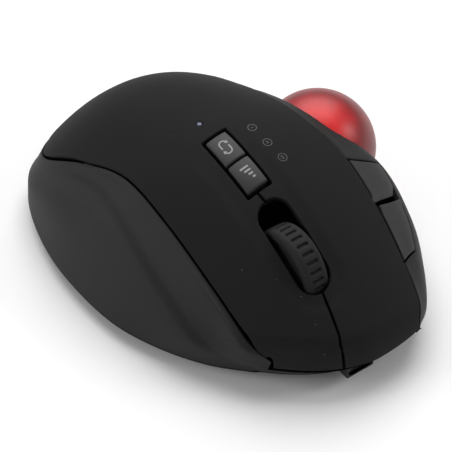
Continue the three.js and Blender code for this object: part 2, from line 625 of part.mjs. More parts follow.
function addSwitches() {
  const capX = (SMALL_HOLE.x0 + SMALL_HOLE.x1) / 2;
  const capBase = SMALL_BOARD.top + 0.3;
  const wheelSwitch = tactSwitch(4.2).translate(-9.2, WHEEL.y - 1.8, BOARD_TOP + 0.3);
  addMesh("left_switch", clickSwitch(CLICK_SWITCHES.left), "blackPlastic");
  addMesh("right_switch", clickSwitch(CLICK_SWITCHES.right), "blackPlastic");
  addMesh("wheel_switch", wheelSwitch, "blackPlastic");
  addMesh("mode_switch", tactSwitch(3.4).translate(capX, -6.7, capBase), "blackPlastic");
  addMesh("sensitivity_switch", tactSwitch(3.4).translate(capX, 4.1, capBase), "blackPlastic");
  addMesh("back_switch", tiltedAtThumb(tactSwitch(2.6), -8, -6.6), "blackPlastic");
  addMesh("forward_switch", tiltedAtThumb(tactSwitch(2.6), 7.5, -6.6), "blackPlastic");
}

// The bridge that carries the small buttons' board, with an arm to each front screw.
function addInnerFrame() {
  const [low, high] = [19, 21];
  const posts = SCREWS.slice(2).map(([x, y]) => post(x, y, 8.2, low + 0.5, 3));
  const bores = SCREWS.slice(2).map(([x, y]) => post(x, y, 8, 16, SCREW.bore, 12));
  const bridge = box(-14, 26.4, 1.4, 11.8, low, high);
  const arm = [box(-27, -13.9, 9, 11.8, low, high), box(-27, -21, 11, 39, low, high)];
  const pillar = box(-6, 6.5, 2.4, 9, high - 0.1, SMALL_BOARD.bottom - 0.3);
  addMesh("inner_frame", cut(unite(bridge, ...arm, pillar, ...posts), ...bores), "blackPlastic");
}

function addBattery() {
  const { x0, x1, y0, y1, top } = BATTERY;
  addMesh("battery", box(x0, x1, y0, y1, FLOOR_TOP + 0.3, top), "foil");
}

function addChargingPort() {
  const { x, z, halfWidth, halfHeight, front } = PORT;
  const [w, h] = [halfWidth - 0.3, halfHeight - 0.3];
  const shell = cut(solid(box(x - w, x + w, 45, front - 0.3, z - h, z + h)),
    box(x - w + 0.3, x + w - 0.3, 47, 60, z - h + 0.3, z + h - 0.3));
  const tongue = box(x - 2.6, x + 2.6, 46.5, front - 1.4, z - 0.35, z + 0.35);
  addMesh("charging_port", shell.add(solid(tongue)), "steel");
}

function addPowerSwitch() {
  const { x, y, travel } = POWER;
  addMesh("power_slider", unite(box(x - 2.5, x + 2.5, y - 1.8, y + 1.8, 0.6, 3.4),
    box(x - 4, x + 4, y - 3, y + 3, 3.3, 4.5)), "satin");
  addMesh("power_switch", box(x - 4, x + 4 + travel, y - 3, y + 3, 4.9, 7.9), "blackPlastic");
}

// ---------------------------------------------------------------- assembly

addTop();
addLights();
addSmallButtons();
addSides();
addThumbButtons();
addFrontBezel();
addBase();
addFeet();
addScrews();
addBall();
addSensor();
addWheel();
addWheelCarrier();
addBoards();
addSwitches();
addInnerFrame();
addBattery();
addChargingPort();
addPowerSwitch();

// The body lines are laid out from the wheel's seam, so the whole is moved to put its origin
// on the table below the middle of its box.
const whole = new THREE.Box3().setFromObject(group);
const middle = whole.getCenter(new THREE.Vector3());
group.position.set(-middle.x, -middle.y, -whole.min.z);

export default group;
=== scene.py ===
# %% [markdown]
# # A thumb-ball mouse, finished in Blender
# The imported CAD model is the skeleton: it says where every piece is and how it moves. This
# script dresses it. Outer mouldings are modelled again with fine surfaces, rounded rims, real
# seams and printed marks, and the pieces inside keep their CAD shape and get a real finish.
# Everything is drawn in millimetres from the wheel's seam, as the design is, and one helper
# takes each finished piece into the frame, which is in metres.

# %% Load the frame
import json
import math

import bmesh
import bpy
import numpy as np
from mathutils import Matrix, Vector


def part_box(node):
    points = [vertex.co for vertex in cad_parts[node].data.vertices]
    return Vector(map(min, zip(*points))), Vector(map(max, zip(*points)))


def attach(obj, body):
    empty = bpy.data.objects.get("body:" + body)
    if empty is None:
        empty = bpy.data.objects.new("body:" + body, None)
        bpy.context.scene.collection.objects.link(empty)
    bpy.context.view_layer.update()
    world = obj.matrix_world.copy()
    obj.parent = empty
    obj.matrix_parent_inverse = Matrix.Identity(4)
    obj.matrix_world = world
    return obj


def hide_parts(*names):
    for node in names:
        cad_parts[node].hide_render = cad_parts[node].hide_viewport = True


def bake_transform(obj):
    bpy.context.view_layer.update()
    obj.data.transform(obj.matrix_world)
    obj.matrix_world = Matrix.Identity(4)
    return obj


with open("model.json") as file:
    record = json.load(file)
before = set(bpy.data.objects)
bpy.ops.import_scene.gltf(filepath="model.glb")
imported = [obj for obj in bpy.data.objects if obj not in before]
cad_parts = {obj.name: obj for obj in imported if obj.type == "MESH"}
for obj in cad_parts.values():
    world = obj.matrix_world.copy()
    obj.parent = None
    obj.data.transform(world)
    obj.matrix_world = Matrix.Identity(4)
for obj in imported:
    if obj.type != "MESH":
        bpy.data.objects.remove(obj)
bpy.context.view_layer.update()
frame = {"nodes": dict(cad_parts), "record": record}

print("CAD nodes:", len(frame["nodes"]))

# %% Find the drawing's origin in the frame
MM = 0.001
BALL_CENTRE = Vector((-34.6, -9.3, 24.0))
BALL_RADIUS = 17.0
ball_low, ball_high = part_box("trackball")
ORIGIN = (ball_low + ball_high) / 2 - BALL_CENTRE * MM
print("the wheel seam's zero lies at", [round(c / MM, 2) for c in ORIGIN], "mm")


def in_frame(x, y, z):
    """A point of the drawing, in millimetres, as a point of the frame, in metres."""
    return ORIGIN + Vector((x, y, z)) * MM


# %% [markdown]
# ## Camera, table and light
# A product like this is shown from the front corner, from a little under fifty degrees up,
# through a long lens that keeps its sides nearly parallel. The light is a studio's: a
# pale room, one large soft box above and behind, and a smaller one on each side. Black plastic
# is drawn by what it mirrors: the back of the shell mirrors the large box, and the front
# mirrors only the room, so it stays darkest.

# %% Camera
CAMERA_AZIMUTH = math.radians(144)
CAMERA_ELEVATION = math.radians(46)
CAMERA_DISTANCE = 0.65
AIM = in_frame(10.2, 7.5, 32.3)
towards_camera = Vector((
    math.sin(CAMERA_AZIMUTH) * math.cos(CAMERA_ELEVATION),
    -math.cos(CAMERA_AZIMUTH) * math.cos(CAMERA_ELEVATION),
    math.sin(CAMERA_ELEVATION),
))
bpy.ops.object.camera_add(location=AIM + towards_camera * CAMERA_DISTANCE)
camera = bpy.context.object
camera.rotation_mode = "QUATERNION"
camera.rotation_quaternion = (-towards_camera).to_track_quat("-Z", "Y")
camera.data.lens = 188.4
camera.data.sensor_width = 36
bpy.context.scene.camera = camera
bpy.context.scene.view_settings.view_transform = "Standard"
print("camera at", [round(c, 3) for c in camera.location])


# %% Colours and nodes
def linear(hex_code):
    """An sRGB hex colour as the linear colour that shaders take."""
    channels = [int(hex_code[i:i + 2], 16) / 255 for i in (1, 3, 5)]
    return [c / 12.92 if c <= 0.04045 else ((c + 0.055) / 1.055) ** 2.4 for c in channels] + [1.0]


def add_node(tree, kind, values=(), links=(), **settings):
    """Adds one node: its own settings, the values of its sockets, and the links into them."""
    node = tree.nodes.new(kind)
    for name, value in settings.items():
        setattr(node, name, value)
    for name, value in dict(values).items():
        node.inputs[name].default_value = value
    for name, socket in dict(links).items():
        tree.links.new(socket, node.inputs[name])
    return node


def new_material(name, **sockets):
    """A material with one Principled shader, whose sockets are set by name."""
    material = bpy.data.materials.new(name)
    material.use_nodes = True
    shader = material.node_tree.nodes["Principled BSDF"]
    for socket, value in sockets.items():
        shader.inputs[socket.replace("_", " ")].default_value = value
    return material, material.node_tree, shader


print("mid grey is", [round(c, 3) for c in linear("#808080")[:3]])

# %% Table
bpy.ops.mesh.primitive_plane_add(size=6)
table = bpy.context.object
table.name = "table"
laminate, laminate_tree, laminate_shader = new_material("white_laminate", Roughness=0.8)
laminate_shader.inputs["Base Color"].default_value = linear("#fdfdfd")
table.data.materials.append(laminate)

# %% World and lamps
WORLD_STRENGTH = 0.3
world = bpy.data.worlds.new("studio")
world.use_nodes = True
world.node_tree.nodes["Background"].inputs["Color"].default_value = linear("#ffffff")
world.node_tree.nodes["Background"].inputs["Strength"].default_value = WORLD_STRENGTH
bpy.context.scene.world = world


def soft_box(name, place, aim, size, watts):
    """A square area lamp that looks at aim."""
    bpy.ops.object.light_add(type="AREA", location=place)
    lamp = bpy.context.object
    lamp.name = name
    lamp.rotation_mode = "QUATERNION"
    lamp.rotation_quaternion = (Vector(aim) - Vector(place)).to_track_quat("-Z", "Y")
    lamp.data.size = size
    lamp.data.energy = watts
    return lamp


soft_box("key_box", (-0.6, -0.9, 1.6), (0, 0, 0.02), 2.0, 37)
soft_box("left_box", (1.7, -0.9, 0.8), (0, 0, 0.02), 0.9, 12)
soft_box("right_box", (-1.4, 0.9, 1.1), (0, 0, 0.02), 0.6, 8)

# %% [markdown]
# ## The shape of the shell
# The mouse is drawn by a few smooth lines. A spine, a lean and a camber give the height of the
# top at every place, and five body lines on each side give the flanks between the parting line
# and the foot. The same knots drive the CAD model, so the fine skins made here lie where the
# plain CAD solids lie. The curve through uneven knots is a cubic with slopes weighted by the
# spacing; the body lines are Catmull-Rom curves, which pass through their points.

# %% The top's knots
BACK = [(-72, 10), (-66, 22), (-60, 29.5), (-54, 35), (-46, 40), (-36, 43.6), (-24, 45.4),
        (-8, 45.8), (10, 42.3), (26, 35.6), (40, 27.6), (56, 16.5)]
TILT = [(-72, -0.05), (-48, -0.02), (-36, 0.03), (-22, 0.11), (-8, 0.2), (10, 0.24),
        (26, 0.22), (40, 0.17), (56, 0.08)]
CROWN = [(-72, 0.017), (-48, 0.0165), (-36, 0.016), (-22, 0.013), (-8, 0.0117),
         (10, 0.0122), (40, 0.0125), (56, 0.011)]


def knot_curve(knots):
    """A smooth function through a few (position, value) pairs."""
    x, y = np.array(knots, float).T
    step = np.diff(y) / np.diff(x)
    gap = np.diff(x)
    middle = (step[:-1] * gap[1:] + step[1:] * gap[:-1]) / (gap[1:] + gap[:-1])
    slope = np.concatenate([step[:1], middle, step[-1:]])

    def value(at):
        at = np.clip(at, x[0], x[-1])
        i = np.clip(np.searchsorted(x, at, side="right") - 1, 0, len(x) - 2)
        h = gap[i]
        t = (at - x[i]) / h
        start = (2 * t**3 - 3 * t**2 + 1) * y[i] + (t**3 - 2 * t**2 + t) * h * slope[i]
        return start + (3 * t**2 - 2 * t**3) * y[i + 1] + (t**3 - t**2) * h * slope[i + 1]

    return value


back, tilt, crown = knot_curve(BACK), knot_curve(TILT), knot_curve(CROWN)


def dome_z(x, y):
    """Height of the top over a place in plan."""
    return back(y) - tilt(y) * x - crown(y) * x * x


print("height over the wheel's seam at y = 0:", round(float(dome_z(0.8, 0.0)), 2), "mm")

# %% The nose
NOSE_LENGTH = 4.0
NOSE_RUN = 12.0
NOSE_X = -8.0
NOSE_Y = 55.6
LIP_Z = 10.1
SEAM_X = 0.8
WALL = 2.0
GAP = 0.35


def front_y(x):
    """How far forward the front line reaches, seen from above."""
    return NOSE_Y - np.where(x > NOSE_X, 0.0187, 0.009) * (x - NOSE_X) ** 2


def unroll(x, y):
    """Distance forward in the flat pattern, where the turned-down nose is laid out straight."""
    start = front_y(x) - NOSE_LENGTH
    share = np.clip((y - start) / NOSE_LENGTH, 0, 1)
    return np.where(y < start, y, start + NOSE_RUN * np.arcsin(share) / (math.pi / 2))


print("front line at the seam:", round(float(front_y(np.array(SEAM_X))), 2), "mm")

# %% A shallow channel round the small buttons and the wheel
CHANNEL = {"rear": -15.0, "front": 43.0, "half_width": 7.6, "edge": 1.1, "depth": 0.45}


def smooth_step(value, low, high):
    """Goes from 0 at low to 1 at high without a corner."""
    t = np.clip((value - low) / (high - low), 0, 1)
    return t * t * (3 - 2 * t)


def channel_depth(x, y):
    """Depth of the channel, a long slot shape with soft edges that fades out to the rear."""
    half, edge = CHANNEL["half_width"], CHANNEL["edge"]
    along = np.clip(y, CHANNEL["rear"] + half, CHANNEL["front"] - half)
    away = np.hypot(x - SEAM_X, y - along)
    fade = smooth_step(y, CHANNEL["rear"] - 2, CHANNEL["rear"] + 16)
    return CHANNEL["depth"] * fade * smooth_step(-away, -half - edge, -half + edge)


def top_surface(x, run):
    """Puts a point of the flat top pattern on the shell's painted face."""
    start = front_y(x) - NOSE_LENGTH
    turn = np.clip((run - start) / NOSE_RUN, 0, 1) * math.pi / 2
    y = np.where(run < start, run, start + NOSE_LENGTH * np.sin(turn))
    edge = front_y(x)
    fall = dome_z(x, edge) - LIP_Z
    height = dome_z(x, np.minimum(y, edge)) - fall * (1 - np.cos(turn)) - channel_depth(x, y)
    return np.stack([x, y, height], axis=1)


def unit(vectors):
    return vectors / np.linalg.norm(vectors, axis=1)[:, None]


def top_normal(x, run):
    """The way out of the shell, from two short steps on its surface."""
    step = 0.05
    across = top_surface(x + step, run) - top_surface(x - step, run)
    ahead = top_surface(x, run) - top_surface(x, run - step)
    return unit(np.cross(across, ahead))


def top_place(x, run, z):
    """Puts a point of the flat top pattern on the shell, z above its surface."""
    return top_surface(x, run) + z[:, None] * top_normal(x, run)


# %% Body lines of the sides
FOOT_Z = 4.6
RIGHT_PARTING = [(19.5, 41.2), (22.8, 36), (23.6, 20), (23.7, -2), (24, -22), (27.5, -39),
                 (29.5, -56), (22, -64.5), (6, -69.5)]
RIGHT_LINES = [
    [(20, 40.2, 9), (25, 35, 17.3), (26, 20, 24), (26.5, -2, 29.8), (27, -23, 32.4),
     (30.2, -40, 27.6), (31.4, -56.5, 17), (23.5, -65.6, 12), (6, -70.2, 11.2)],
    [(20.3, 39, 8), (26.5, 33, 13.5), (29, 20, 18.5), (30.8, -2, 23.5), (32.3, -24, 25.5),
     (34, -41, 21.6), (33.2, -57.3, 13.6), (24.4, -66.3, 10.2), (6, -70.7, 9.4)],
    [(20.7, 37.4, 7), (27.8, 30, 10), (33.4, 19, 12.6), (36.6, -2, 16.6), (38.6, -25, 18),
     (37.8, -43, 15.4), (34.2, -58, 10.2), (25, -66.9, 8), (6, -71.2, 7.4)],
    [(21.2, 35.2, FOOT_Z), (30, 25.4, FOOT_Z), (37.8, 11.6, FOOT_Z), (42.7, -4.4, FOOT_Z),
     (43.4, -26, FOOT_Z), (40.4, -44, FOOT_Z), (34.4, -58.5, FOOT_Z), (25, -67, FOOT_Z),
     (6, -71.4, FOOT_Z)],
]
LEFT_PARTING = [(-22.5, 53.7), (-25.5, 49), (-27.5, 38), (-28.8, 25), (-29, 8), (-26.5, -6),
                (-26, -20), (-26, -36), (-22, -52), (-12, -64.5), (6, -69.5)]
LEFT_LINES = [
    [(-22.9, 53, 9), (-28, 48.8, 13), (-33, 38.5, 20), (-38, 27, 24.5), (-40.2, 10, 31),
     (-31.5, -6, 39.3), (-29.5, -21, 37), (-29.5, -37, 29), (-25, -54, 19.6), (-14, -66, 12.6),
     (6, -70.2, 11.2)],
    [(-23.1, 52.2, 8), (-29, 48.6, 10.6), (-35.5, 38.8, 15), (-41.4, 26, 19), (-43.6, 10, 23),
     (-35.4, -6, 29), (-34.5, -22, 28.6), (-34.5, -39, 22.6), (-29, -56, 15), (-16, -67, 10.4),
     (6, -70.7, 9.4)],
    [(-23.3, 51.2, 7), (-29.4, 47.8, 8), (-36.6, 37.8, 9.8), (-43.6, 25, 11.6), (-46.6, 9, 13.2),
     (-43.5, -6, 14), (-42.5, -23, 14.6), (-40, -41, 13), (-32, -57.5, 10.4), (-18, -68, 8),
     (6, -71.2, 7.4)],
    [(-23.6, 48.7, FOOT_Z), (-29.6, 46.4, FOOT_Z), (-37.4, 37, FOOT_Z), (-44.8, 24, FOOT_Z),
     (-49.8, 8, FOOT_Z), (-51, -8, FOOT_Z), (-49.4, -25, FOOT_Z), (-43.2, -43, FOOT_Z),
     (-33.6, -58.5, FOOT_Z), (-19, -68.4, FOOT_Z), (6, -71.4, FOOT_Z)],
]


def smooth_line(points, share):
    """Points of a curve through the given points, at shares 0..1 of its length."""
    points = np.asarray(points, float)
    last = len(points) - 1
    place = np.clip(share, 0, 1) * last
    i = np.minimum(place.astype(int), last - 1)
    t = (place - i)[:, None]
    ends = np.concatenate([[2 * points[0] - points[1]], points, [2 * points[-1] - points[-2]]])
    row = np.arange(len(share))
    a, b, c, d = [ends[i + k, row] if ends.ndim == 3 else ends[i + k] for k in range(4)]
    return 0.5 * (2 * b + (c - a) * t + (2 * a - 5 * b + 4 * c - d) * t**2
                  + (3 * b - a - 3 * c + d) * t**3)


def parting_on_top(parting):
    """The plan parting line, a little under the top's surface."""
    x, y = np.array(parting, float).T
    edge = front_y(x)
    share = np.clip((y - edge + NOSE_LENGTH) / NOSE_LENGTH, 0, 1)
    fall = (dome_z(x, edge) - 10.4) * (1 - np.sqrt(1 - share**2))
    return np.stack([x, y, dome_z(x, np.minimum(y, edge)) - fall - 0.4], axis=1)


RIGHT_SIDE = [parting_on_top(RIGHT_PARTING), *RIGHT_LINES]
LEFT_SIDE = [parting_on_top(LEFT_PARTING), *LEFT_LINES]


SLANT = {"shift": 0.012, "lean": 0.12, "rise": 0.14, "fall": (0.3, 0.42)}


def slanted(u, v):
    """On the thumb side the columns lean back round the buttons, so their ends lie aslant."""
    reach = smooth_step(u, 0, SLANT["rise"]) * (1 - smooth_step(u, *SLANT["fall"]))
    return u + reach * (SLANT["shift"] + SLANT["lean"] * np.clip(v, 0, 0.3))


def side_point(side, u, v):
    """A point of a flank, u along its body lines and v down across them."""
    u = slanted(u, v) if side is LEFT_SIDE else u
    lines = np.stack([smooth_line(line, u) for line in side])
    return smooth_line(lines, v)


def side_inward(side, hand, u, v):
    """The way into the wall: slanting under the top at the parting line, square to the skin below it."""
    step = 0.01
    along = side_point(side, np.minimum(u + step, 1), v) - side_point(side, np.maximum(u - step, 0), v)
    down = side_point(side, u, np.minimum(v + step, 1)) - side_point(side, u, np.maximum(v - step, 0))
    normal = -hand * unit(np.cross(along, down))
    normal[:, 2] *= 1 - smooth_step(v, 0.75, 1)
    run = unit(along)
    under = unit(np.stack([hand * run[:, 1], -hand * run[:, 0], np.full(len(u), -1.1)], axis=1))
    share = smooth_step(v, 0, 0.12)[:, None]
    return unit((1 - share) * under + share * normal)


RIGHT, LEFT = 1, -1
print("right flank at half height:", side_point(RIGHT_SIDE, np.array([0.4]), np.array([0.5])).round(1))

# %% [markdown]
# ## How a moulded shell is made here
# A curved skin with crisp seams is easiest to make flat. Its outline is a filled circle whose
# corners take the plan shape; it is extruded to the wall's thickness, windows are cut with a
# Boolean, the rim is bevelled and the slab is sliced into small cells by bisect. Only then is
# it laid over the curved form, like dough over a bowl. Every cut and every rounded edge is
# clean, because it was made on a flat face.

# %% Selecting in code
def select_only(piece):
    """Object mode, with this piece alone selected and active."""
    if bpy.context.object and bpy.context.object.mode != "OBJECT":
        bpy.ops.object.mode_set(mode="OBJECT")
    bpy.ops.object.select_all(action="DESELECT")
    piece.select_set(True)
    bpy.context.view_layer.objects.active = piece


def pick(piece, kind, wanted):
    """Edit mode, with the faces or edges for which wanted(element) is true selected."""
    select_only(piece)
    bpy.ops.object.mode_set(mode="EDIT")
    bpy.ops.mesh.select_mode(type=kind)
    bpy.ops.mesh.select_all(action="DESELECT")
    shape = bmesh.from_edit_mesh(piece.data)
    for element in shape.faces if kind == "FACE" else shape.edges:
        element.select_set(bool(wanted(element)))
    bmesh.update_edit_mesh(piece.data)


def pick_all(piece):
    select_only(piece)
    bpy.ops.object.mode_set(mode="EDIT")
    bpy.ops.mesh.select_all(action="SELECT")


def done():
    bpy.ops.object.mode_set(mode="OBJECT")


def mend_normals(piece):
    """Merges doubles and points every face outwards."""
    pick_all(piece)
    bpy.ops.mesh.remove_doubles(threshold=0.0005)
    bpy.ops.mesh.normals_make_consistent(inside=False)
    done()
    shape = bmesh.new()
    shape.from_mesh(piece.data)
    inside_out = shape.calc_volume(signed=True) < 0
    shape.free()
    if inside_out:
        pick_all(piece)
        bpy.ops.mesh.flip_normals()
        done()


# %% Flat slabs, cuts, rims and slices
def flat_slab(name, outline, low, high):
    """A slab of that outline between two heights."""
    bpy.ops.mesh.primitive_circle_add(vertices=len(outline), fill_type="NGON")
    piece = bpy.context.object
    piece.name = name
    for vertex, (x, y) in zip(piece.data.vertices, outline):
        vertex.co = (x, y, low)
    pick_all(piece)
    bpy.ops.mesh.extrude_region_move(TRANSFORM_OT_translate={"value": (0, 0, high - low)})
    bpy.ops.mesh.select_all(action="SELECT")
    bpy.ops.mesh.normals_make_consistent(inside=False)
    done()
    return piece


def block(name, x, y, z):
    """A box between pairs of limits."""
    limits = np.array([x, y, z], float)
    bpy.ops.mesh.primitive_cube_add(size=1, location=limits.mean(axis=1))
    piece = bpy.context.object
    piece.name = name
    piece.scale = limits[:, 1] - limits[:, 0]
    bpy.ops.object.transform_apply(location=True, rotation=True, scale=True)
    return piece


def carve(piece, tool, operation="DIFFERENCE"):
    """Cuts a piece with a tool, or joins the tool to it, and takes the tool away."""
    modifier = piece.modifiers.new("carve", "BOOLEAN")
    modifier.object = tool
    modifier.operation = operation
    modifier.solver = "MANIFOLD"
    select_only(piece)
    bpy.ops.object.modifier_apply(modifier=modifier.name)
    bpy.data.objects.remove(tool)
    return piece


def round_edges(piece, width, wanted=None, segments=3):
    """Bevels the sharp edges, or only those for which wanted(middle point) is true."""
    def is_sharp(edge):
        if len(edge.link_faces) != 2 or edge.calc_face_angle(0) < 0.6:
            return False
        return wanted is None or wanted((edge.verts[0].co + edge.verts[1].co) / 2)

    pick(piece, "EDGE", is_sharp)
    bpy.ops.mesh.bevel(offset=width, segments=segments, profile=0.5, affect="EDGES", clamp_overlap=False)
    done()
    return piece


def slice_up(piece, axis, places):
    """Bisects the piece at each place along an axis, so that it can bend there."""
    normal = [0, 0, 0]
    normal["xyz".index(axis)] = 1
    for place in places:
        pick_all(piece)
        bpy.ops.mesh.bisect(plane_co=[n * place for n in normal], plane_no=normal)
    done()
    return piece


def copy_of(piece, name):
    """A copy with a mesh of its own."""
    copy = piece.copy()
    copy.data = piece.data.copy()
    copy.name = name
    bpy.context.scene.collection.objects.link(copy)
    return copy


def lay_over(piece, place):
    """Moves every corner of a flat piece to where place says."""
    flat = np.empty(len(piece.data.vertices) * 3)
    piece.data.vertices.foreach_get("co", flat)
    piece.data.vertices.foreach_set("co", place(*flat.reshape(-1, 3).T).ravel())
    piece.data.update()
    return piece


def join(first, *others):
    select_only(first)
    for other in others:
        other.select_set(True)
    bpy.ops.object.join()
    return first


def finish(piece, material, body, stands_for=(), smooth=35):
    """Takes a drawn piece into the frame, gives it its finish and lets it ride on its body."""
    select_only(piece)
    bpy.ops.object.shade_smooth_by_angle(angle=math.radians(smooth))
    piece.scale = (MM, MM, MM)
    piece.location = ORIGIN
    bpy.ops.object.transform_apply(location=True, rotation=True, scale=True)
    piece.data.materials.clear()
    piece.data.materials.append(material)
    if body:
        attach(piece, body)
    if stands_for:
        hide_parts(*stands_for)
    piece.data.calc_loop_triangles()
    print(f"{piece.name}: {len(piece.data.loop_triangles)} triangles")
    return piece


# %% Outlines
def inset(points, distance):
    """Moves an outline inwards."""
    points = np.asarray(points, float)
    before, after = np.roll(points, 1, axis=0), np.roll(points, -1, axis=0)
    turn = np.sign(np.sum(before[:, 0] * points[:, 1] - points[:, 0] * before[:, 1]))
    run = unit(after - before)
    return points + turn * distance * np.stack([-run[:, 1], run[:, 0]], axis=1)


def long_hole(x, y0, y1, radius, steps=14):
    """A slot with round ends."""
    angle = np.linspace(0, math.pi, steps + 1)
    far = np.stack([x + radius * np.cos(angle), y1 - radius + radius * np.sin(angle)], axis=1)
    near = np.stack([x - radius * np.cos(angle), y0 + radius - radius * np.sin(angle)], axis=1)
    return np.concatenate([far, near])


def top_pattern():
    """The top's outline in the flat pattern, a gap inside the parting lines."""
    share = np.linspace(0, 1, 76)
    right = smooth_line(RIGHT_SIDE[0], share)[:, :2]
    left = smooth_line(LEFT_SIDE[0], share)[::-1][1:, :2]
    x = np.linspace(LEFT_PARTING[0][0], RIGHT_PARTING[0][0], 26)[1:]
    front = np.stack([x, front_y(x)], axis=1)
    plan = np.concatenate([right, left, front])
    return inset(np.stack([plan[:, 0], unroll(*plan.T)], axis=1), GAP)


print("the top's pattern has", len(top_pattern()), "corners")

# %% [markdown]
# ## The top: palm cover and two click plates
# On the real mouse the palm cover and the plates are one soft-touch painted ABS moulding. The
# plates are fingers cut free by the wheel slot and the seam, and they bend down where they meet
# the palm. So the top is made as one slab and cut across at the rear edge of the small
# buttons' window. The two plates stay where they are laid and are not attached to a body. Nothing
# shows at the join because both sides of it are cut from the same surface.

# %% One slab, cut and rounded while it is flat
SMALL_HOLE = {"x": (-3.95, 4.4), "y": (-12.4, 9.8)}
SLOT = (12.7, 39.3, 5.0)
SEAM_WIDTH = 0.7
BEND_Y = -12.0
RIM = 0.35

top = flat_slab("top", top_pattern(), -WALL, 0)
window = block("window", SMALL_HOLE["x"], SMALL_HOLE["y"], (-5, 5))
pick(window, "EDGE", lambda e: abs(e.verts[0].co.z - e.verts[1].co.z) > 1)
bpy.ops.mesh.bevel(offset=0.5, segments=3, affect="EDGES")
done()
carve(top, window)
carve(top, flat_slab("slot", long_hole(SEAM_X, SLOT[0], SLOT[1], SLOT[2]), -5, 5))
half = SEAM_WIDTH / 2
seam = [(1.2 - half, 9), (SEAM_X - half, 14), (SEAM_X - half, 38.5), (3.6 - half, 53), (3.6 - half, 70),
        (3.6 + half, 70), (3.6 + half, 53), (SEAM_X + half, 38.5), (SEAM_X + half, 14), (1.2 + half, 9)]
carve(top, flat_slab("seam", seam, -5, 5))
LIGHT_AT = (0.6, -18.3)
bpy.ops.mesh.primitive_cylinder_add(vertices=24, radius=0.85, depth=10, location=(*LIGHT_AT, 0))
carve(top, bpy.context.object)
round_edges(top, RIM, lambda p: p.z > -0.01)
slice_up(top, "x", np.arange(-30, 31, 1.5))
slice_up(top, "y", np.concatenate([np.arange(-70.5, -12.1, 1.5), [BEND_Y], np.arange(-10.5, 46, 1.5),
                                   np.arange(46.6, 64, 0.8)]))
print("cells in the slab:", len(top.data.polygons))


# %% Cut it into the palm and the two plates, then lay them over the dome
def keep_side(piece, front):
    """Keeps what lies in front of the bend line, or behind it, and closes the cut."""
    pick_all(piece)
    bpy.ops.mesh.bisect(plane_co=(0, BEND_Y, 0), plane_no=(0, 1, 0), use_fill=True,
                        clear_inner=front, clear_outer=not front)
    done()
    return piece


def painted_normals(piece):
    """The surface's own normals for the painted face, and none for the rims and the inside."""
    x, run, z = np.array([v.co for v in piece.data.vertices]).T
    normals = top_normal(x, run)
    normals[np.abs(z) > 0.001] = 0
    return normals


plates = copy_of(top, "plates")
palm = keep_side(top, front=False)
palm.name = "palm_skin"
keep_side(plates, front=True)
select_only(plates)
bpy.ops.mesh.separate(type="LOOSE")
halves = sorted(bpy.context.selected_objects, key=lambda o: np.mean([v.co.x for v in o.data.vertices]))
print("the plates fall into", len(halves), "pieces")
left_plate, right_plate = halves[0], halves[-1]
left_plate.name, right_plate.name = "left_click_skin", "right_click_skin"
skin_normals = {}
for skin in (palm, left_plate, right_plate):
    skin_normals[skin.name] = painted_normals(skin)
    lay_over(skin, top_place)
    print(skin.name, "height", round(max(v.co.z for v in skin.data.vertices), 1), "mm")

# %% [markdown]
# ## Soft-touch paint
# The top is ABS sprayed with soft-touch paint, a rubbery polyurethane clear coat full of fine
# silica. It looks nearly black, has no mirror in it, and its gloss is broad and dim. Up close it
# has a grain of about 0.2 mm and it holds specks of dust. The grain is drawn a little coarser
# than it is, so that it still shows from arm's length.

# %% Paints and plastics
def two_tone(tree, factor, dark, light):
    """A colour that a factor moves between two shades."""
    mix = add_node(tree, "ShaderNodeMix", links={"Factor": factor}, data_type="RGBA")
    mix.inputs["A"].default_value = linear(dark)
    mix.inputs["B"].default_value = linear(light)
    return mix.outputs["Result"]


def moulded(name, dark, light, roughness, grain_mm, grain_height_mm, cloud_mm=14, speck_mm=0, **sockets):
    """A plastic or paint: two close shades in soft clouds, a fine grain, and dust if it holds it."""
    material, tree, shader = new_material(name, **sockets)
    place = add_node(tree, "ShaderNodeTexCoord").outputs["Object"]
    clouds = add_node(tree, "ShaderNodeTexNoise", {"Scale": 1 / (cloud_mm * MM), "Detail": 4},
                      {"Vector": place})
    colour = two_tone(tree, clouds.outputs["Fac"], dark, light)
    if speck_mm:
        cells = add_node(tree, "ShaderNodeTexVoronoi", {"Scale": 1 / (SPECK_SPACING_MM * MM)},
                         {"Vector": place})
        reach = speck_mm / SPECK_SPACING_MM
        speck = add_node(tree, "ShaderNodeMapRange", {"From Min": reach, "From Max": reach * 0.6},
                         {"Value": cells.outputs["Distance"]})
        dusty = add_node(tree, "ShaderNodeMix", links={"Factor": speck.outputs["Result"], "A": colour},
                         data_type="RGBA")
        dusty.inputs["B"].default_value = linear("#8a888c")
        colour = dusty.outputs["Result"]
    tree.links.new(colour, shader.inputs["Base Color"])
    sheen = add_node(tree, "ShaderNodeMapRange", {"To Min": roughness - 0.04, "To Max": roughness + 0.04},
                     {"Value": clouds.outputs["Fac"]})
    tree.links.new(sheen.outputs["Result"], shader.inputs["Roughness"])
    grain = add_node(tree, "ShaderNodeTexNoise", {"Scale": 1 / (grain_mm * MM), "Detail": 2},
                     {"Vector": place})
    bump = add_node(tree, "ShaderNodeBump", {"Distance": grain_height_mm * MM, "Strength": 1.0},
                    {"Height": grain.outputs["Fac"]})
    tree.links.new(bump.outputs["Normal"], shader.inputs["Normal"])
    return material


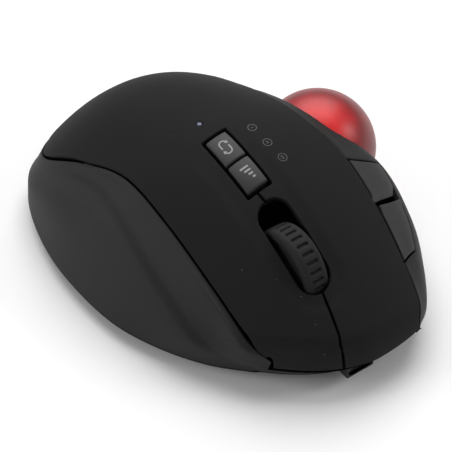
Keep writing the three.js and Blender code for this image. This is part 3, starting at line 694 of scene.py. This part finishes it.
SPECK_SPACING_MM = 7.0
soft_touch = moulded("soft_touch_paint", "#0a090b", "#0e0d0f", 0.8, 0.5, 0.012, speck_mm=0.13, IOR=1.36)
panel_abs = moulded("satin_abs_flank", "#0a0a0b", "#0e0e0f", 0.62, 0.6, 0.008, speck_mm=0.1, IOR=1.42)
cap_abs = moulded("satin_abs_caps", "#151517", "#1b1b1d", 0.5, 0.4, 0.006)
black_abs = moulded("moulded_black_abs", "#070708", "#0b0b0c", 0.6, 0.5, 0.006)
print("paints:", soft_touch.name, panel_abs.name, cap_abs.name)

# %% Finish the three skins
def paint_top(skin, body, stands_for):
    normals = skin_normals[skin.name]
    finish(skin, soft_touch, body, stands_for)
    skin.data.normals_split_custom_set_from_vertices([Vector(n) for n in normals])


paint_top(palm, "root", ["palm_cover"])
paint_top(left_plate, None, ["left_button"])
paint_top(right_plate, None, ["right_button"])
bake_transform(left_plate)
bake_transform(right_plate)

# %% [markdown]
# ## The flanks
# The little-finger side is one long satin panel: a lip along the seam, a scooped groove that the
# ring finger rests in, and a flared foot. The thumb side is its mirror idea, cut away round the
# ball and along the two thumb buttons. A flank is a strip of cells, u from the front corner to
# the middle of the rear and v from the parting line to the foot. The strip is a grid; the cells
# under the thumb buttons are deleted, the rest is extruded to the wall's thickness, and the
# whole is laid between the body lines. Its sharp edges are bevelled after that.

# %% A strip of a flank
NOTCH = {"u": (0.168, 0.382), "v": 0.25}
BUTTON_SPLIT = 0.29
FLANK_RIM = 0.3


def places(low, high, count, *kept):
    """Even places from low to high, each nearest one moved to a place that has to be kept."""
    even = np.linspace(low, high, count + 1)
    for value in kept:
        even[np.abs(even - value).argmin()] = value
    return even


def flat_strip(name, u, v, low, high, missing=None):
    """A grid of u and v places, one wall thick, without the cells that missing(u, v) names."""
    bpy.ops.mesh.primitive_grid_add(x_subdivisions=len(u) - 1, y_subdivisions=len(v) - 1, size=1)
    piece = bpy.context.object
    piece.name = name
    for vertex in piece.data.vertices:
        i = round((vertex.co.x + 0.5) * (len(u) - 1))
        j = round((vertex.co.y + 0.5) * (len(v) - 1))
        vertex.co = (u[i], v[j], low)
    if missing:
        pick(piece, "FACE", lambda f: missing(*f.calc_center_median()[:2]))
        bpy.ops.mesh.delete(type="FACE")
        done()
    pick_all(piece)
    bpy.ops.mesh.extrude_region_move(TRANSFORM_OT_translate={"value": (0, 0, high - low)})
    done()
    return piece


def on_flank(side, hand, relief=None):
    """How to lay a strip on a flank; relief(u, v) raises its outer face in millimetres."""
    def place(u, v, depth):
        raised = relief(u, v) * (1 - np.clip(depth, 0, 1)) if relief else 0
        return side_point(side, u, v) + side_inward(side, hand, u, v) * (depth - raised)[:, None]

    return place


def lay_strip(piece, side, hand, relief=None):
    lay_over(piece, on_flank(side, hand, relief))
    mend_normals(piece)
    return piece


# %% The little-finger panel
def finger_groove(u, v):
    """A soft crease that runs down and forwards from the lip, with a scoop above it."""
    crease = 0.36 + 0.42 * smooth_step(u, 0.62, 0.12)
    ends = smooth_step(u, 0.1, 0.22) * smooth_step(u, 0.72, 0.55)
    scoop = smooth_step(v, 0.04, 0.2) * smooth_step(v, crease + 0.015, crease - 0.10)
    return -0.9 * ends * scoop


panel = flat_strip("pinky_skin", places(0, 0.9965, 110), places(0, 1, 44), 0, WALL)
lay_strip(panel, RIGHT_SIDE, RIGHT, finger_groove)
round_edges(panel, FLANK_RIM)
finish(panel, panel_abs, "root", ["pinky_panel"], smooth=40)

# %% The thumb panel, open round the ball
thumb = flat_strip("thumb_skin", places(0, 0.9965, 120, NOTCH["u"][0], NOTCH["u"][1]),
                   places(0, 1, 36, NOTCH["v"]), 0, WALL,
                   lambda u, v: NOTCH["u"][0] < u < NOTCH["u"][1] and v < NOTCH["v"])
lay_strip(thumb, LEFT_SIDE, LEFT)
BALL_CLEARANCE = 0.7
OPENING_RADIUS = BALL_RADIUS + BALL_CLEARANCE
bpy.ops.mesh.primitive_uv_sphere_add(segments=96, ring_count=48, radius=OPENING_RADIUS,
                                     location=BALL_CENTRE)
carve(thumb, bpy.context.object)
round_edges(thumb, FLANK_RIM)
finish(thumb, panel_abs, "root", ["thumb_panel"], smooth=40)

# %% [markdown]
# ## The thumb buttons
# Two satin caps lie end to end in the notch of the thumb panel and carry its curve on. Each is a
# strip of the same flank, a hair proud of it, with a rounded rim. The rear one has a chamfered
# front end, and the front one a small lip that a thumb finds without looking.

# %% Back and forward buttons
THUMB_CAP_DEPTH = 1.5
THUMB_CAP_PROUD = 0.15
THUMB_CAP_RIM = 0.35
SIDE_GAP = {"u": 0.005, "v0": 0.012, "v1": 0.014}


def thumb_button(name, u0, u1, relief, node):
    strip = flat_strip(name, places(u0, u1, 26), places(SIDE_GAP["v0"], NOTCH["v"] - SIDE_GAP["v1"], 12),
                       -THUMB_CAP_PROUD, THUMB_CAP_DEPTH)
    lay_strip(strip, LEFT_SIDE, LEFT, relief)
    round_edges(strip, THUMB_CAP_RIM, segments=4)
    return finish(strip, cap_abs, node, [node], smooth=40)


thumb_button("forward_cap", NOTCH["u"][0] + SIDE_GAP["u"], BUTTON_SPLIT - SIDE_GAP["u"],
             lambda u, v: 0.35 * smooth_step(u, BUTTON_SPLIT - 0.022, BUTTON_SPLIT - 0.008), "forward_button")
thumb_button("back_cap", BUTTON_SPLIT + SIDE_GAP["u"], NOTCH["u"][1] - SIDE_GAP["u"],
             lambda u, v: -0.9 * smooth_step(u, BUTTON_SPLIT + 0.02, BUTTON_SPLIT + 0.006), "back_button")

# %% [markdown]
# ## The front bezel and the base
# Under the nose a set-back strip closes the front, with a tab that holds the charging port. The
# strip is a grid again, laid between the front line and the foot. The base is the tray that
# everything is screwed to: its outline is the foot line, its side slopes under, out of sight,
# and only a thin rim shows below the panels.

# %% Bezel
BEZEL = {"left": -21.6, "width": 42.0, "flare": (-1.1, 2.0), "top": 9.2, "drop": 4.6, "set_back": 0.8,
         "rake": 4.4, "thickness": 1.8}
PORT = {"x": -2.6, "z": 7.0, "half_width": 4.0, "half_height": 1.35, "front": 52.7, "depth": 10.0}
TAB = {"half_width": 4.9, "rear": 48.0, "z": (4.8, 9.1), "corner": 0.9, "rim": 0.3, "mouth_rim": 0.2}


def on_front(across, down, depth):
    """The set-back strip, across the front and down to the foot."""
    left = BEZEL["left"] + BEZEL["flare"][0] * down
    x = left + across * (BEZEL["width"] + BEZEL["flare"][1] * down)
    y = front_y(x) - BEZEL["set_back"] - BEZEL["rake"] * down - depth
    return np.stack([x, y, BEZEL["top"] - BEZEL["drop"] * down], axis=1)


bezel = flat_strip("bezel_skin", places(0, 1, 60), places(0, 1, 8), 0, BEZEL["thickness"])
lay_over(bezel, on_front)
mend_normals(bezel)
tab_x = (PORT["x"] - TAB["half_width"], PORT["x"] + TAB["half_width"])
tab = block("tab", tab_x, (TAB["rear"], PORT["front"]), TAB["z"])
round_edges(tab, TAB["corner"], lambda p: abs(p.x - PORT["x"]) > TAB["half_width"] - 0.1, segments=4)
round_edges(tab, TAB["rim"], lambda p: p.y > PORT["front"] - 0.01)
carve(bezel, tab, "UNION")
port_hole = long_hole(0, -PORT["half_width"], PORT["half_width"], PORT["half_height"])
opening = flat_slab("opening", port_hole, -PORT["depth"], PORT["depth"])
lay_over(opening, lambda x, y, z: np.stack([PORT["x"] + y, PORT["front"] + z, PORT["z"] + x], axis=1))
carve(bezel, opening)
round_edges(bezel, TAB["mouth_rim"], lambda p: p.y > PORT["front"] - 0.05)
finish(bezel, panel_abs, "root", ["front_bezel"])

# %% Base
BASE_BOTTOM = 1.0
BASE_TAPER = 3.2
FLOOR_TOP = 3.0
RIM_TOP = 4.25
FOOT_FRONT = {"x": (-23.6, 21.2), "set_back": 5.2}
BASE_RIMS = {"lower": 0.45, "upper": 0.3}
SCREW_RECESS = {"radius": 2.9, "top": 2.2, "bore": 1.4}
EJECT_RADIUS = 4.5
SLIDER_WINDOW = {"x": (-0.85, 7.85), "y": (-8.15, -3.85)}
SCREWS = [(22, -44), (-20, -46), (24.5, 8), (-24, 36)]


def foot_outline():
    """The base's outline: the foot lines of both flanks, and the front line set back."""
    share = np.linspace(0, 1, 70)
    right = smooth_line(RIGHT_LINES[3], share)[:, :2]
    left = smooth_line(LEFT_LINES[3], share)[::-1][1:, :2]
    x = np.linspace(*FOOT_FRONT["x"], 24)[1:-1]
    return np.concatenate([right, left, np.stack([x, front_y(x) - FOOT_FRONT["set_back"]], axis=1)])


def drill(piece, x, y, radius, top, sides=32):
    """A round hole from below the base up to a height."""
    bpy.ops.mesh.primitive_cylinder_add(vertices=sides, radius=radius, depth=top, location=(x, y, top / 2))
    return carve(piece, bpy.context.object)


def slope_under(x, y, z):
    """Draws the lower outline in, so that the side slopes under."""
    outline = foot_outline()
    lower = inset(outline, BASE_TAPER)
    plan = np.stack([x, y], axis=1)
    nearest = np.linalg.norm(plan[:, None] - outline[None], axis=2).argmin(axis=1)
    moved = np.where((z < BASE_BOTTOM + 0.01)[:, None], lower[nearest], plan)
    return np.column_stack([moved, z])


base = flat_slab("base_tray", foot_outline(), BASE_BOTTOM, RIM_TOP)
lay_over(base, slope_under)
carve(base, flat_slab("inside", inset(foot_outline(), WALL), FLOOR_TOP, RIM_TOP + 1))
for x, y in SCREWS:
    drill(base, x, y, SCREW_RECESS["radius"], SCREW_RECESS["top"])
    drill(base, x, y, SCREW_RECESS["bore"], RIM_TOP + 1)
drill(base, BALL_CENTRE.x, BALL_CENTRE.y, EJECT_RADIUS, RIM_TOP + 1, sides=48)
carve(base, block("slider_window", SLIDER_WINDOW["x"], SLIDER_WINDOW["y"], (0, RIM_TOP + 1)))
round_edges(base, BASE_RIMS["lower"], lambda p: p.z < BASE_BOTTOM + 0.01)
round_edges(base, BASE_RIMS["upper"], lambda p: p.z > RIM_TOP - 0.01)
finish(base, black_abs, "root", ["base"])

# %% [markdown]
# ## The two small buttons
# Between palm and wheel lie two satin caps that swap the paired computer and the pointer speed.
# Each is a strip of the top, crowned a little, with a deep rounded rim. Their marks are printed
# in pale grey: two arrows that chase each other, and four bars that rise. The marks are thin
# slabs laid on the caps, so they keep crisp edges at any distance.

# %% Caps
CAP_X = (-3.3, 3.45)
CAP_Y = {"mode": (-11.6, -1.6), "sensitivity": (-1.05, 8.5)}
CAP_RISE = 0.5
CAP_THICKNESS = 1.9
CAP_CROWN = (0.18, 0.22)
CAP_RIM = 0.45
STEM_HALF = 1.0


def cap_height(x, y, y0, y1):
    """The cap's own crown over the shell's surface."""
    s = (x - sum(CAP_X) / 2) / ((CAP_X[1] - CAP_X[0]) / 2)
    t = (y - (y0 + y1) / 2) / ((y1 - y0) / 2)
    return CAP_RISE - CAP_CROWN[0] * s * s - CAP_CROWN[1] * t * t


def on_cap(y0, y1):
    def place(x, y, z):
        return np.stack([x, y, dome_z(x, y) - CHANNEL["depth"] + cap_height(x, y, y0, y1) + z], axis=1)

    return place


def small_cap(name, y0, y1, node):
    cap = flat_strip(name, places(*CAP_X, 14), places(y0, y1, 18), -CAP_THICKNESS, 0)
    lay_over(cap, on_cap(y0, y1))
    mend_normals(cap)
    round_edges(cap, CAP_RIM, segments=4)
    x, y = sum(CAP_X) / 2, (y0 + y1) / 2
    foot = (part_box(node)[0].z - ORIGIN.z) / MM
    stem = block("stem", (x - STEM_HALF, x + STEM_HALF), (y - STEM_HALF, y + STEM_HALF),
                 (foot, dome_z(x, y) - CAP_THICKNESS + 0.4))
    carve(cap, stem, "UNION")
    return finish(cap, cap_abs, node, [node])


small_cap("mode_cap", *CAP_Y["mode"], "mode_button")
small_cap("sensitivity_cap", *CAP_Y["sensitivity"], "sensitivity_button")

# %% Printed marks
STROKE = 0.42
INK = 0.03
ink, ink_tree, ink_shader = new_material("pale_grey_ink", Roughness=0.55)
ink_clouds = add_node(ink_tree, "ShaderNodeTexNoise", {"Scale": 1 / (0.4 * MM)},
                      {"Vector": add_node(ink_tree, "ShaderNodeTexCoord").outputs["Object"]})
ink_tree.links.new(two_tone(ink_tree, ink_clouds.outputs["Fac"], "#8a8a8d", "#9c9c9f"),
                   ink_shader.inputs["Base Color"])


def stroke(points, width=STROKE):
    """The outline of a pen stroke along a line."""
    points = np.asarray(points, float)
    run = unit(np.gradient(points, axis=0))
    side = np.stack([-run[:, 1], run[:, 0]], axis=1) * width / 2
    return np.concatenate([points + side, (points - side)[::-1]])


LOOP = {"radius": 1.1, "bow": 1.2, "tail": -0.2, "end": math.radians(20), "head": (0.62, 0.85)}


def arrow(turn):
    """Half of a long loop with a head at its end, turned about the middle."""
    angle = np.linspace(math.pi, LOOP["end"], 18)
    bend = LOOP["radius"] * np.stack([np.cos(angle), np.sin(angle)], axis=1) + (0, LOOP["bow"])
    line = np.concatenate([[[-LOOP["radius"], LOOP["tail"]]], bend])
    outward = np.array([math.cos(LOOP["end"]), math.sin(LOOP["end"])])
    onward = np.array([outward[1], -outward[0]])
    half, length = LOOP["head"]
    head = [line[-1] - half * outward, line[-1] + half * outward, line[-1] + length * onward]
    return [turn * stroke(line), turn * np.array(head)]


def printed(name, outlines, middle, y_range, body):
    """Prints a mark on a cap."""
    slabs = [flat_slab(name, np.asarray(o) + middle, 0.0, INK) for o in outlines]
    mark = join(*slabs)
    slice_up(mark, "x", np.arange(-3, 4, 0.8))
    slice_up(mark, "y", np.arange(y_range[0], y_range[1], 0.8))
    lay_over(mark, on_cap(*y_range))
    return finish(mark, ink, body)


mode_middle = np.array([0.1, sum(CAP_Y["mode"]) / 2])
printed("mode_mark", [*arrow(1), *arrow(-1)], mode_middle, CAP_Y["mode"], "mode_button")
BARS = [(1.8, 0.8), (0.6, 1.4), (-0.6, 2.0), (-1.8, 2.6)]
BAR_HALF = 0.27
BAR_START = -1.3
level_middle = np.array([0.1, sum(CAP_Y["sensitivity"]) / 2])
bars = [[(BAR_START, y - BAR_HALF), (BAR_START + reach, y - BAR_HALF),
         (BAR_START + reach, y + BAR_HALF), (BAR_START, y + BAR_HALF)] for y, reach in BARS]
printed("level_mark", bars, level_middle, CAP_Y["sensitivity"], "sensitivity_button")

# %% [markdown]
# ## Lights and rings
# A pale lens no wider than a grain of rice shows that the mouse is awake. Three faint rings on
# the left plate light up to show which computer it talks to; unlit, they are barely paler than
# the paint, and each holds one, two or three short bars.

# %% Status light
LENS = {"radius": 0.75, "stem": 4.0, "flatness": 0.35, "sunk": 0.1}
bpy.ops.mesh.primitive_uv_sphere_add(segments=32, ring_count=16, radius=LENS["radius"])
lens = bpy.context.object
lens.name = "status_lens"
pick(lens, "FACE", lambda f: f.calc_center_median().z < 0)
bpy.ops.mesh.delete(type="FACE")
pick(lens, "EDGE", lambda e: len(e.link_faces) == 1)
bpy.ops.mesh.extrude_region_move(TRANSFORM_OT_translate={"value": (0, 0, -LENS["stem"])})
bpy.ops.mesh.edge_face_add()
done()
light_x, light_y = LIGHT_AT
lens_z = float(top_surface(np.array([light_x]), np.array([light_y]))[0, 2]) - LENS["sunk"]
lay_over(lens, lambda x, y, z: np.stack([x + light_x, y + light_y,
                                         np.where(z > 0, z * LENS["flatness"], z) + lens_z], axis=1))
mend_normals(lens)
led, led_tree, led_shader = new_material("frosted_polycarbonate", Roughness=0.35, IOR=1.585)
led_noise = add_node(led_tree, "ShaderNodeTexNoise", {"Scale": 1 / (0.5 * MM)},
                     {"Vector": add_node(led_tree, "ShaderNodeTexCoord").outputs["Object"]})
led_tree.links.new(two_tone(led_tree, led_noise.outputs["Fac"], "#474d5e", "#5a6072"),
                   led_shader.inputs["Base Color"])
finish(lens, led, "root", ["status_light"])

# %% Rings
RING = {"outer": 1.35, "inner": 1.12, "z": (-0.3, 0.02)}
TICK = {"half_length": 0.45, "half_width": 0.1, "spacing": 0.5}
RINGS = [(-9.9, -7.8), (-10.2, -1.1), (-10.8, 5.1)]
ring_ink = moulded("translucent_ring_ink", "#2a2a2d", "#343438", 0.5, 0.3, 0.002)


def circle(x, y, radius, steps=40):
    angle = np.linspace(0, 2 * math.pi, steps, endpoint=False)
    return np.stack([x + radius * np.cos(angle), y + radius * np.sin(angle)], axis=1)


def tick_outline(x, y):
    dx, dy = TICK["half_length"], TICK["half_width"]
    return [(x - dx, y - dy), (x + dx, y - dy), (x + dx, y + dy), (x - dx, y + dy)]


for number, (x, y) in enumerate(RINGS, start=1):
    ring = flat_slab(f"ring_{number}", circle(x, y, RING["outer"]), *RING["z"])
    carve(ring, flat_slab("hole", circle(x, y, RING["inner"]), -1, 1))
    for k in range(number):
        middle = y + (k - (number - 1) / 2) * TICK["spacing"]
        join(ring, flat_slab("tick", tick_outline(x, middle), *RING["z"]))
    lay_over(ring, top_place)
    finish(ring, ring_ink, "left_button", [f"indicator_{number}"])

# %% [markdown]
# ## The wheel
# A rubber tyre on a plastic hub. The tyre has short grooves across its middle band that give
# the fingertip a grip, and smooth shoulders. It starts as a cylinder: the end faces are inset,
# the rims are bevelled, and the running face is sliced across, so that there are rows of cells
# for the grooves to sink into. Then every corner is moved in towards the axle by the depth of
# the groove there.

# %% Tyre
low, high = [(corner - ORIGIN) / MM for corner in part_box("wheel_tyre")]
WHEEL_CENTRE = (low + high) / 2
WHEEL_RADIUS = (high.z - low.z) / 2
WHEEL_HALF = (high.x - low.x) / 2
GROOVES = 28
STEPS = 10
SHOULDER = 1.1
HUB_INSET = 2.2
BAND = (1.45, 1.95)
ROW = 0.2
GROOVE_DEPTH = 0.7
TYRE_CROWN = 0.25
bpy.ops.mesh.primitive_cylinder_add(vertices=GROOVES * STEPS, radius=WHEEL_RADIUS, depth=2 * WHEEL_HALF)
tyre = bpy.context.object
tyre.name = "tyre"
pick(tyre, "FACE", lambda f: abs(f.normal.z) > 0.9)
bpy.ops.mesh.inset(thickness=HUB_INSET, use_individual=True)
bpy.ops.mesh.extrude_region_move(TRANSFORM_OT_translate={"value": (0, 0, 0)})
done()
round_edges(tyre, SHOULDER, lambda p: math.hypot(p.x, p.y) > WHEEL_RADIUS - 0.5, segments=6)
slice_up(tyre, "z", np.arange(-11, 12) * ROW)
pick(tyre, "FACE", lambda f: abs(f.normal.z) > 0.9 and math.hypot(*f.calc_center_median()[:2]) < 1)
bpy.ops.mesh.delete(type="FACE")
pick(tyre, "EDGE", lambda e: len(e.link_faces) == 1)
bpy.ops.mesh.bridge_edge_loops()
done()
mend_normals(tyre)


def groove(x, y, z):
    """Sinks the grooves and stands the wheel up on its axle."""
    angle = np.arctan2(y, x)
    radius = np.hypot(x, y)
    wave = (angle * GROOVES / (2 * math.pi)) % 1
    sunk = smooth_step(-np.abs(wave - 0.5), -0.24, -0.1)
    outer = smooth_step(radius, WHEEL_RADIUS - 1.5, WHEEL_RADIUS - 0.4)
    band = smooth_step(-np.abs(z), -BAND[1], -BAND[0]) * outer
    crown = TYRE_CROWN * np.clip(np.abs(z) / WHEEL_HALF, 0, 1) ** 2
    scale = (radius - GROOVE_DEPTH * sunk * band - crown) / radius
    return np.stack([WHEEL_CENTRE.x + z, WHEEL_CENTRE.y + x * scale, WHEEL_CENTRE.z + y * scale], axis=1)


lay_over(tyre, groove)
rubber = moulded("moulded_rubber", "#060606", "#0a0a09", 0.8, 0.25, 0.01, speck_mm=0.12)
finish(tyre, rubber, "wheel", ["wheel_tyre"])

# %% [markdown]
# ## The ball
# The ball is phenolic resin, ground to a satin by use: deep maroon with a pearl cloud in it.
# A bright red patch on its upper side is a painted glow: light going through the resin, painted
# into the base colour and fixed to the ball, so it turns as the ball rolls. A cube that is subdivided and
# pushed out to a sphere has even cells and no poles, so its reflection has no pinch.

# %% Ball
bpy.ops.mesh.primitive_cube_add(size=2)
ball = bpy.context.object
ball.name = "resin_ball"
pick_all(ball)
bpy.ops.mesh.subdivide(number_cuts=40)
done()
lay_over(ball, lambda x, y, z: np.array(BALL_CENTRE) + BALL_RADIUS * unit(np.stack([x, y, z], axis=1)))
resin, resin_tree, resin_shader = new_material("polished_red_resin", IOR=1.55, Roughness=0.4)
resin_place = add_node(resin_tree, "ShaderNodeTexCoord").outputs["Object"]
pearl = add_node(resin_tree, "ShaderNodeTexNoise", {"Scale": 1 / (9 * MM), "Detail": 4, "Distortion": 1.2},
                 {"Vector": resin_place})
# Painted glow: the base colour turns bright red within a few millimetres of this point near the top of the
# ball, standing in for light through the resin.
painted_glow_at = ORIGIN + MM * (BALL_CENTRE + Vector((6.0, 6.5, 14.5)))
painted_glow_distance = add_node(resin_tree, "ShaderNodeVectorMath", links={0: resin_place}, operation="DISTANCE")
painted_glow_distance.inputs[1].default_value = painted_glow_at
# Strength of the painted glow: 1 near its middle, 0 from 15 mm away.
near = add_node(resin_tree, "ShaderNodeMapRange", {"From Min": 4 * MM, "From Max": 15 * MM, "To Min": 1.0,
                                                   "To Max": 0.0}, {"Value": painted_glow_distance.outputs["Value"]})
cloudy = add_node(resin_tree, "ShaderNodeMath", {1: 0.35}, {0: pearl.outputs["Fac"]}, operation="MULTIPLY")
# Painted glow plus the resin's own pearl cloud: the red patch is painted light, the cloud is the resin's
# tone.
depth = add_node(resin_tree, "ShaderNodeMath", links={0: near.outputs["Result"], 1: cloudy.outputs[0]},
                 operation="ADD", use_clamp=True)
resin_tree.links.new(two_tone(resin_tree, depth.outputs[0], "#4c0a12", "#e0040c"),
                     resin_shader.inputs["Base Color"])
finish(ball, resin, "trackball", ["trackball"], smooth=80)

# %% [markdown]
# ## Feet
# Five low-friction pads keep the mouse clear of the table. They are PTFE-filled plastic, waxy
# and mid grey. One pad is drawn and copied to the five places the frame gives.

# %% Feet
PAD = {"half_length": 7.5, "radius": 3.0, "rim": 0.25}
pad_low, pad_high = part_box("foot_1")
pad_outline = long_hole(0, -PAD["half_length"], PAD["half_length"], PAD["radius"])
pad = flat_slab("pad", pad_outline, 0, (pad_high.z - pad_low.z) / MM)
round_edges(pad, PAD["rim"], lambda p: p.z < 0.01)
TURN_OF_PAD = {"foot_1": 0.35, "foot_2": -0.9, "foot_3": 0.1, "foot_4": 1.35, "foot_5": -0.5}
slick = moulded("ptfe_pad", "#2c2c2e", "#38383a", 0.42, 0.8, 0.004)
for node, angle in TURN_OF_PAD.items():
    low, high = [(corner - ORIGIN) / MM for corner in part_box(node)]
    foot = copy_of(pad, f"pad_{node}")
    middle = (low + high) / 2
    c, s = math.cos(angle), math.sin(angle)
    lay_over(foot, lambda x, y, z: np.stack([middle.x + c * x - s * y, middle.y + s * x + c * y, z], axis=1))
    finish(foot, slick, "root", [node])
bpy.data.objects.remove(pad)

# %% [markdown]
# ## The pieces inside
# What lies inside keeps its CAD shape. Each piece still gets its real finish, because the seams,
# the wheel's slot and the underside let some of it show: zinc-plated steel, black solder mask,
# white ceramic, clear lens plastic and the battery's silver foil.

# %% Finishes of the CAD nodes
zinc = moulded("zinc_plated_steel", "#9a9ca0", "#b4b6ba", 0.3, 0.5, 0.003, Metallic=1.0)
solder_mask = moulded("black_solder_mask", "#0a0d0b", "#101411", 0.4, 1.2, 0.01)
ceramic = moulded("white_ceramic", "#dcdcd8", "#ececea", 0.12, 0.5, 0.001)
lens_plastic = moulded("clear_lens_plastic", "#8fa6b8", "#a8bccb", 0.08, 0.8, 0.001)
foil = moulded("battery_foil", "#8c9096", "#a6aab0", 0.35, 1.5, 0.03, Metallic=1.0)
FINISH_OF_SLOT = {"soft_touch": soft_touch, "side_panel": panel_abs, "satin_caps": cap_abs, "ball": resin,
                  "rubber": rubber, "black_plastic": black_abs, "board": solder_mask, "steel": zinc,
                  "ceramic": ceramic, "clear": lens_plastic, "feet": slick, "foil": foil}
slot_of = {part["node"]: part["material_slot"] for part in frame["record"]["subparts"]}
for name, node in frame["nodes"].items():
    node.data.materials.clear()
    node.data.materials.append(FINISH_OF_SLOT[slot_of[name]])
print("finishes given:", len(slot_of))
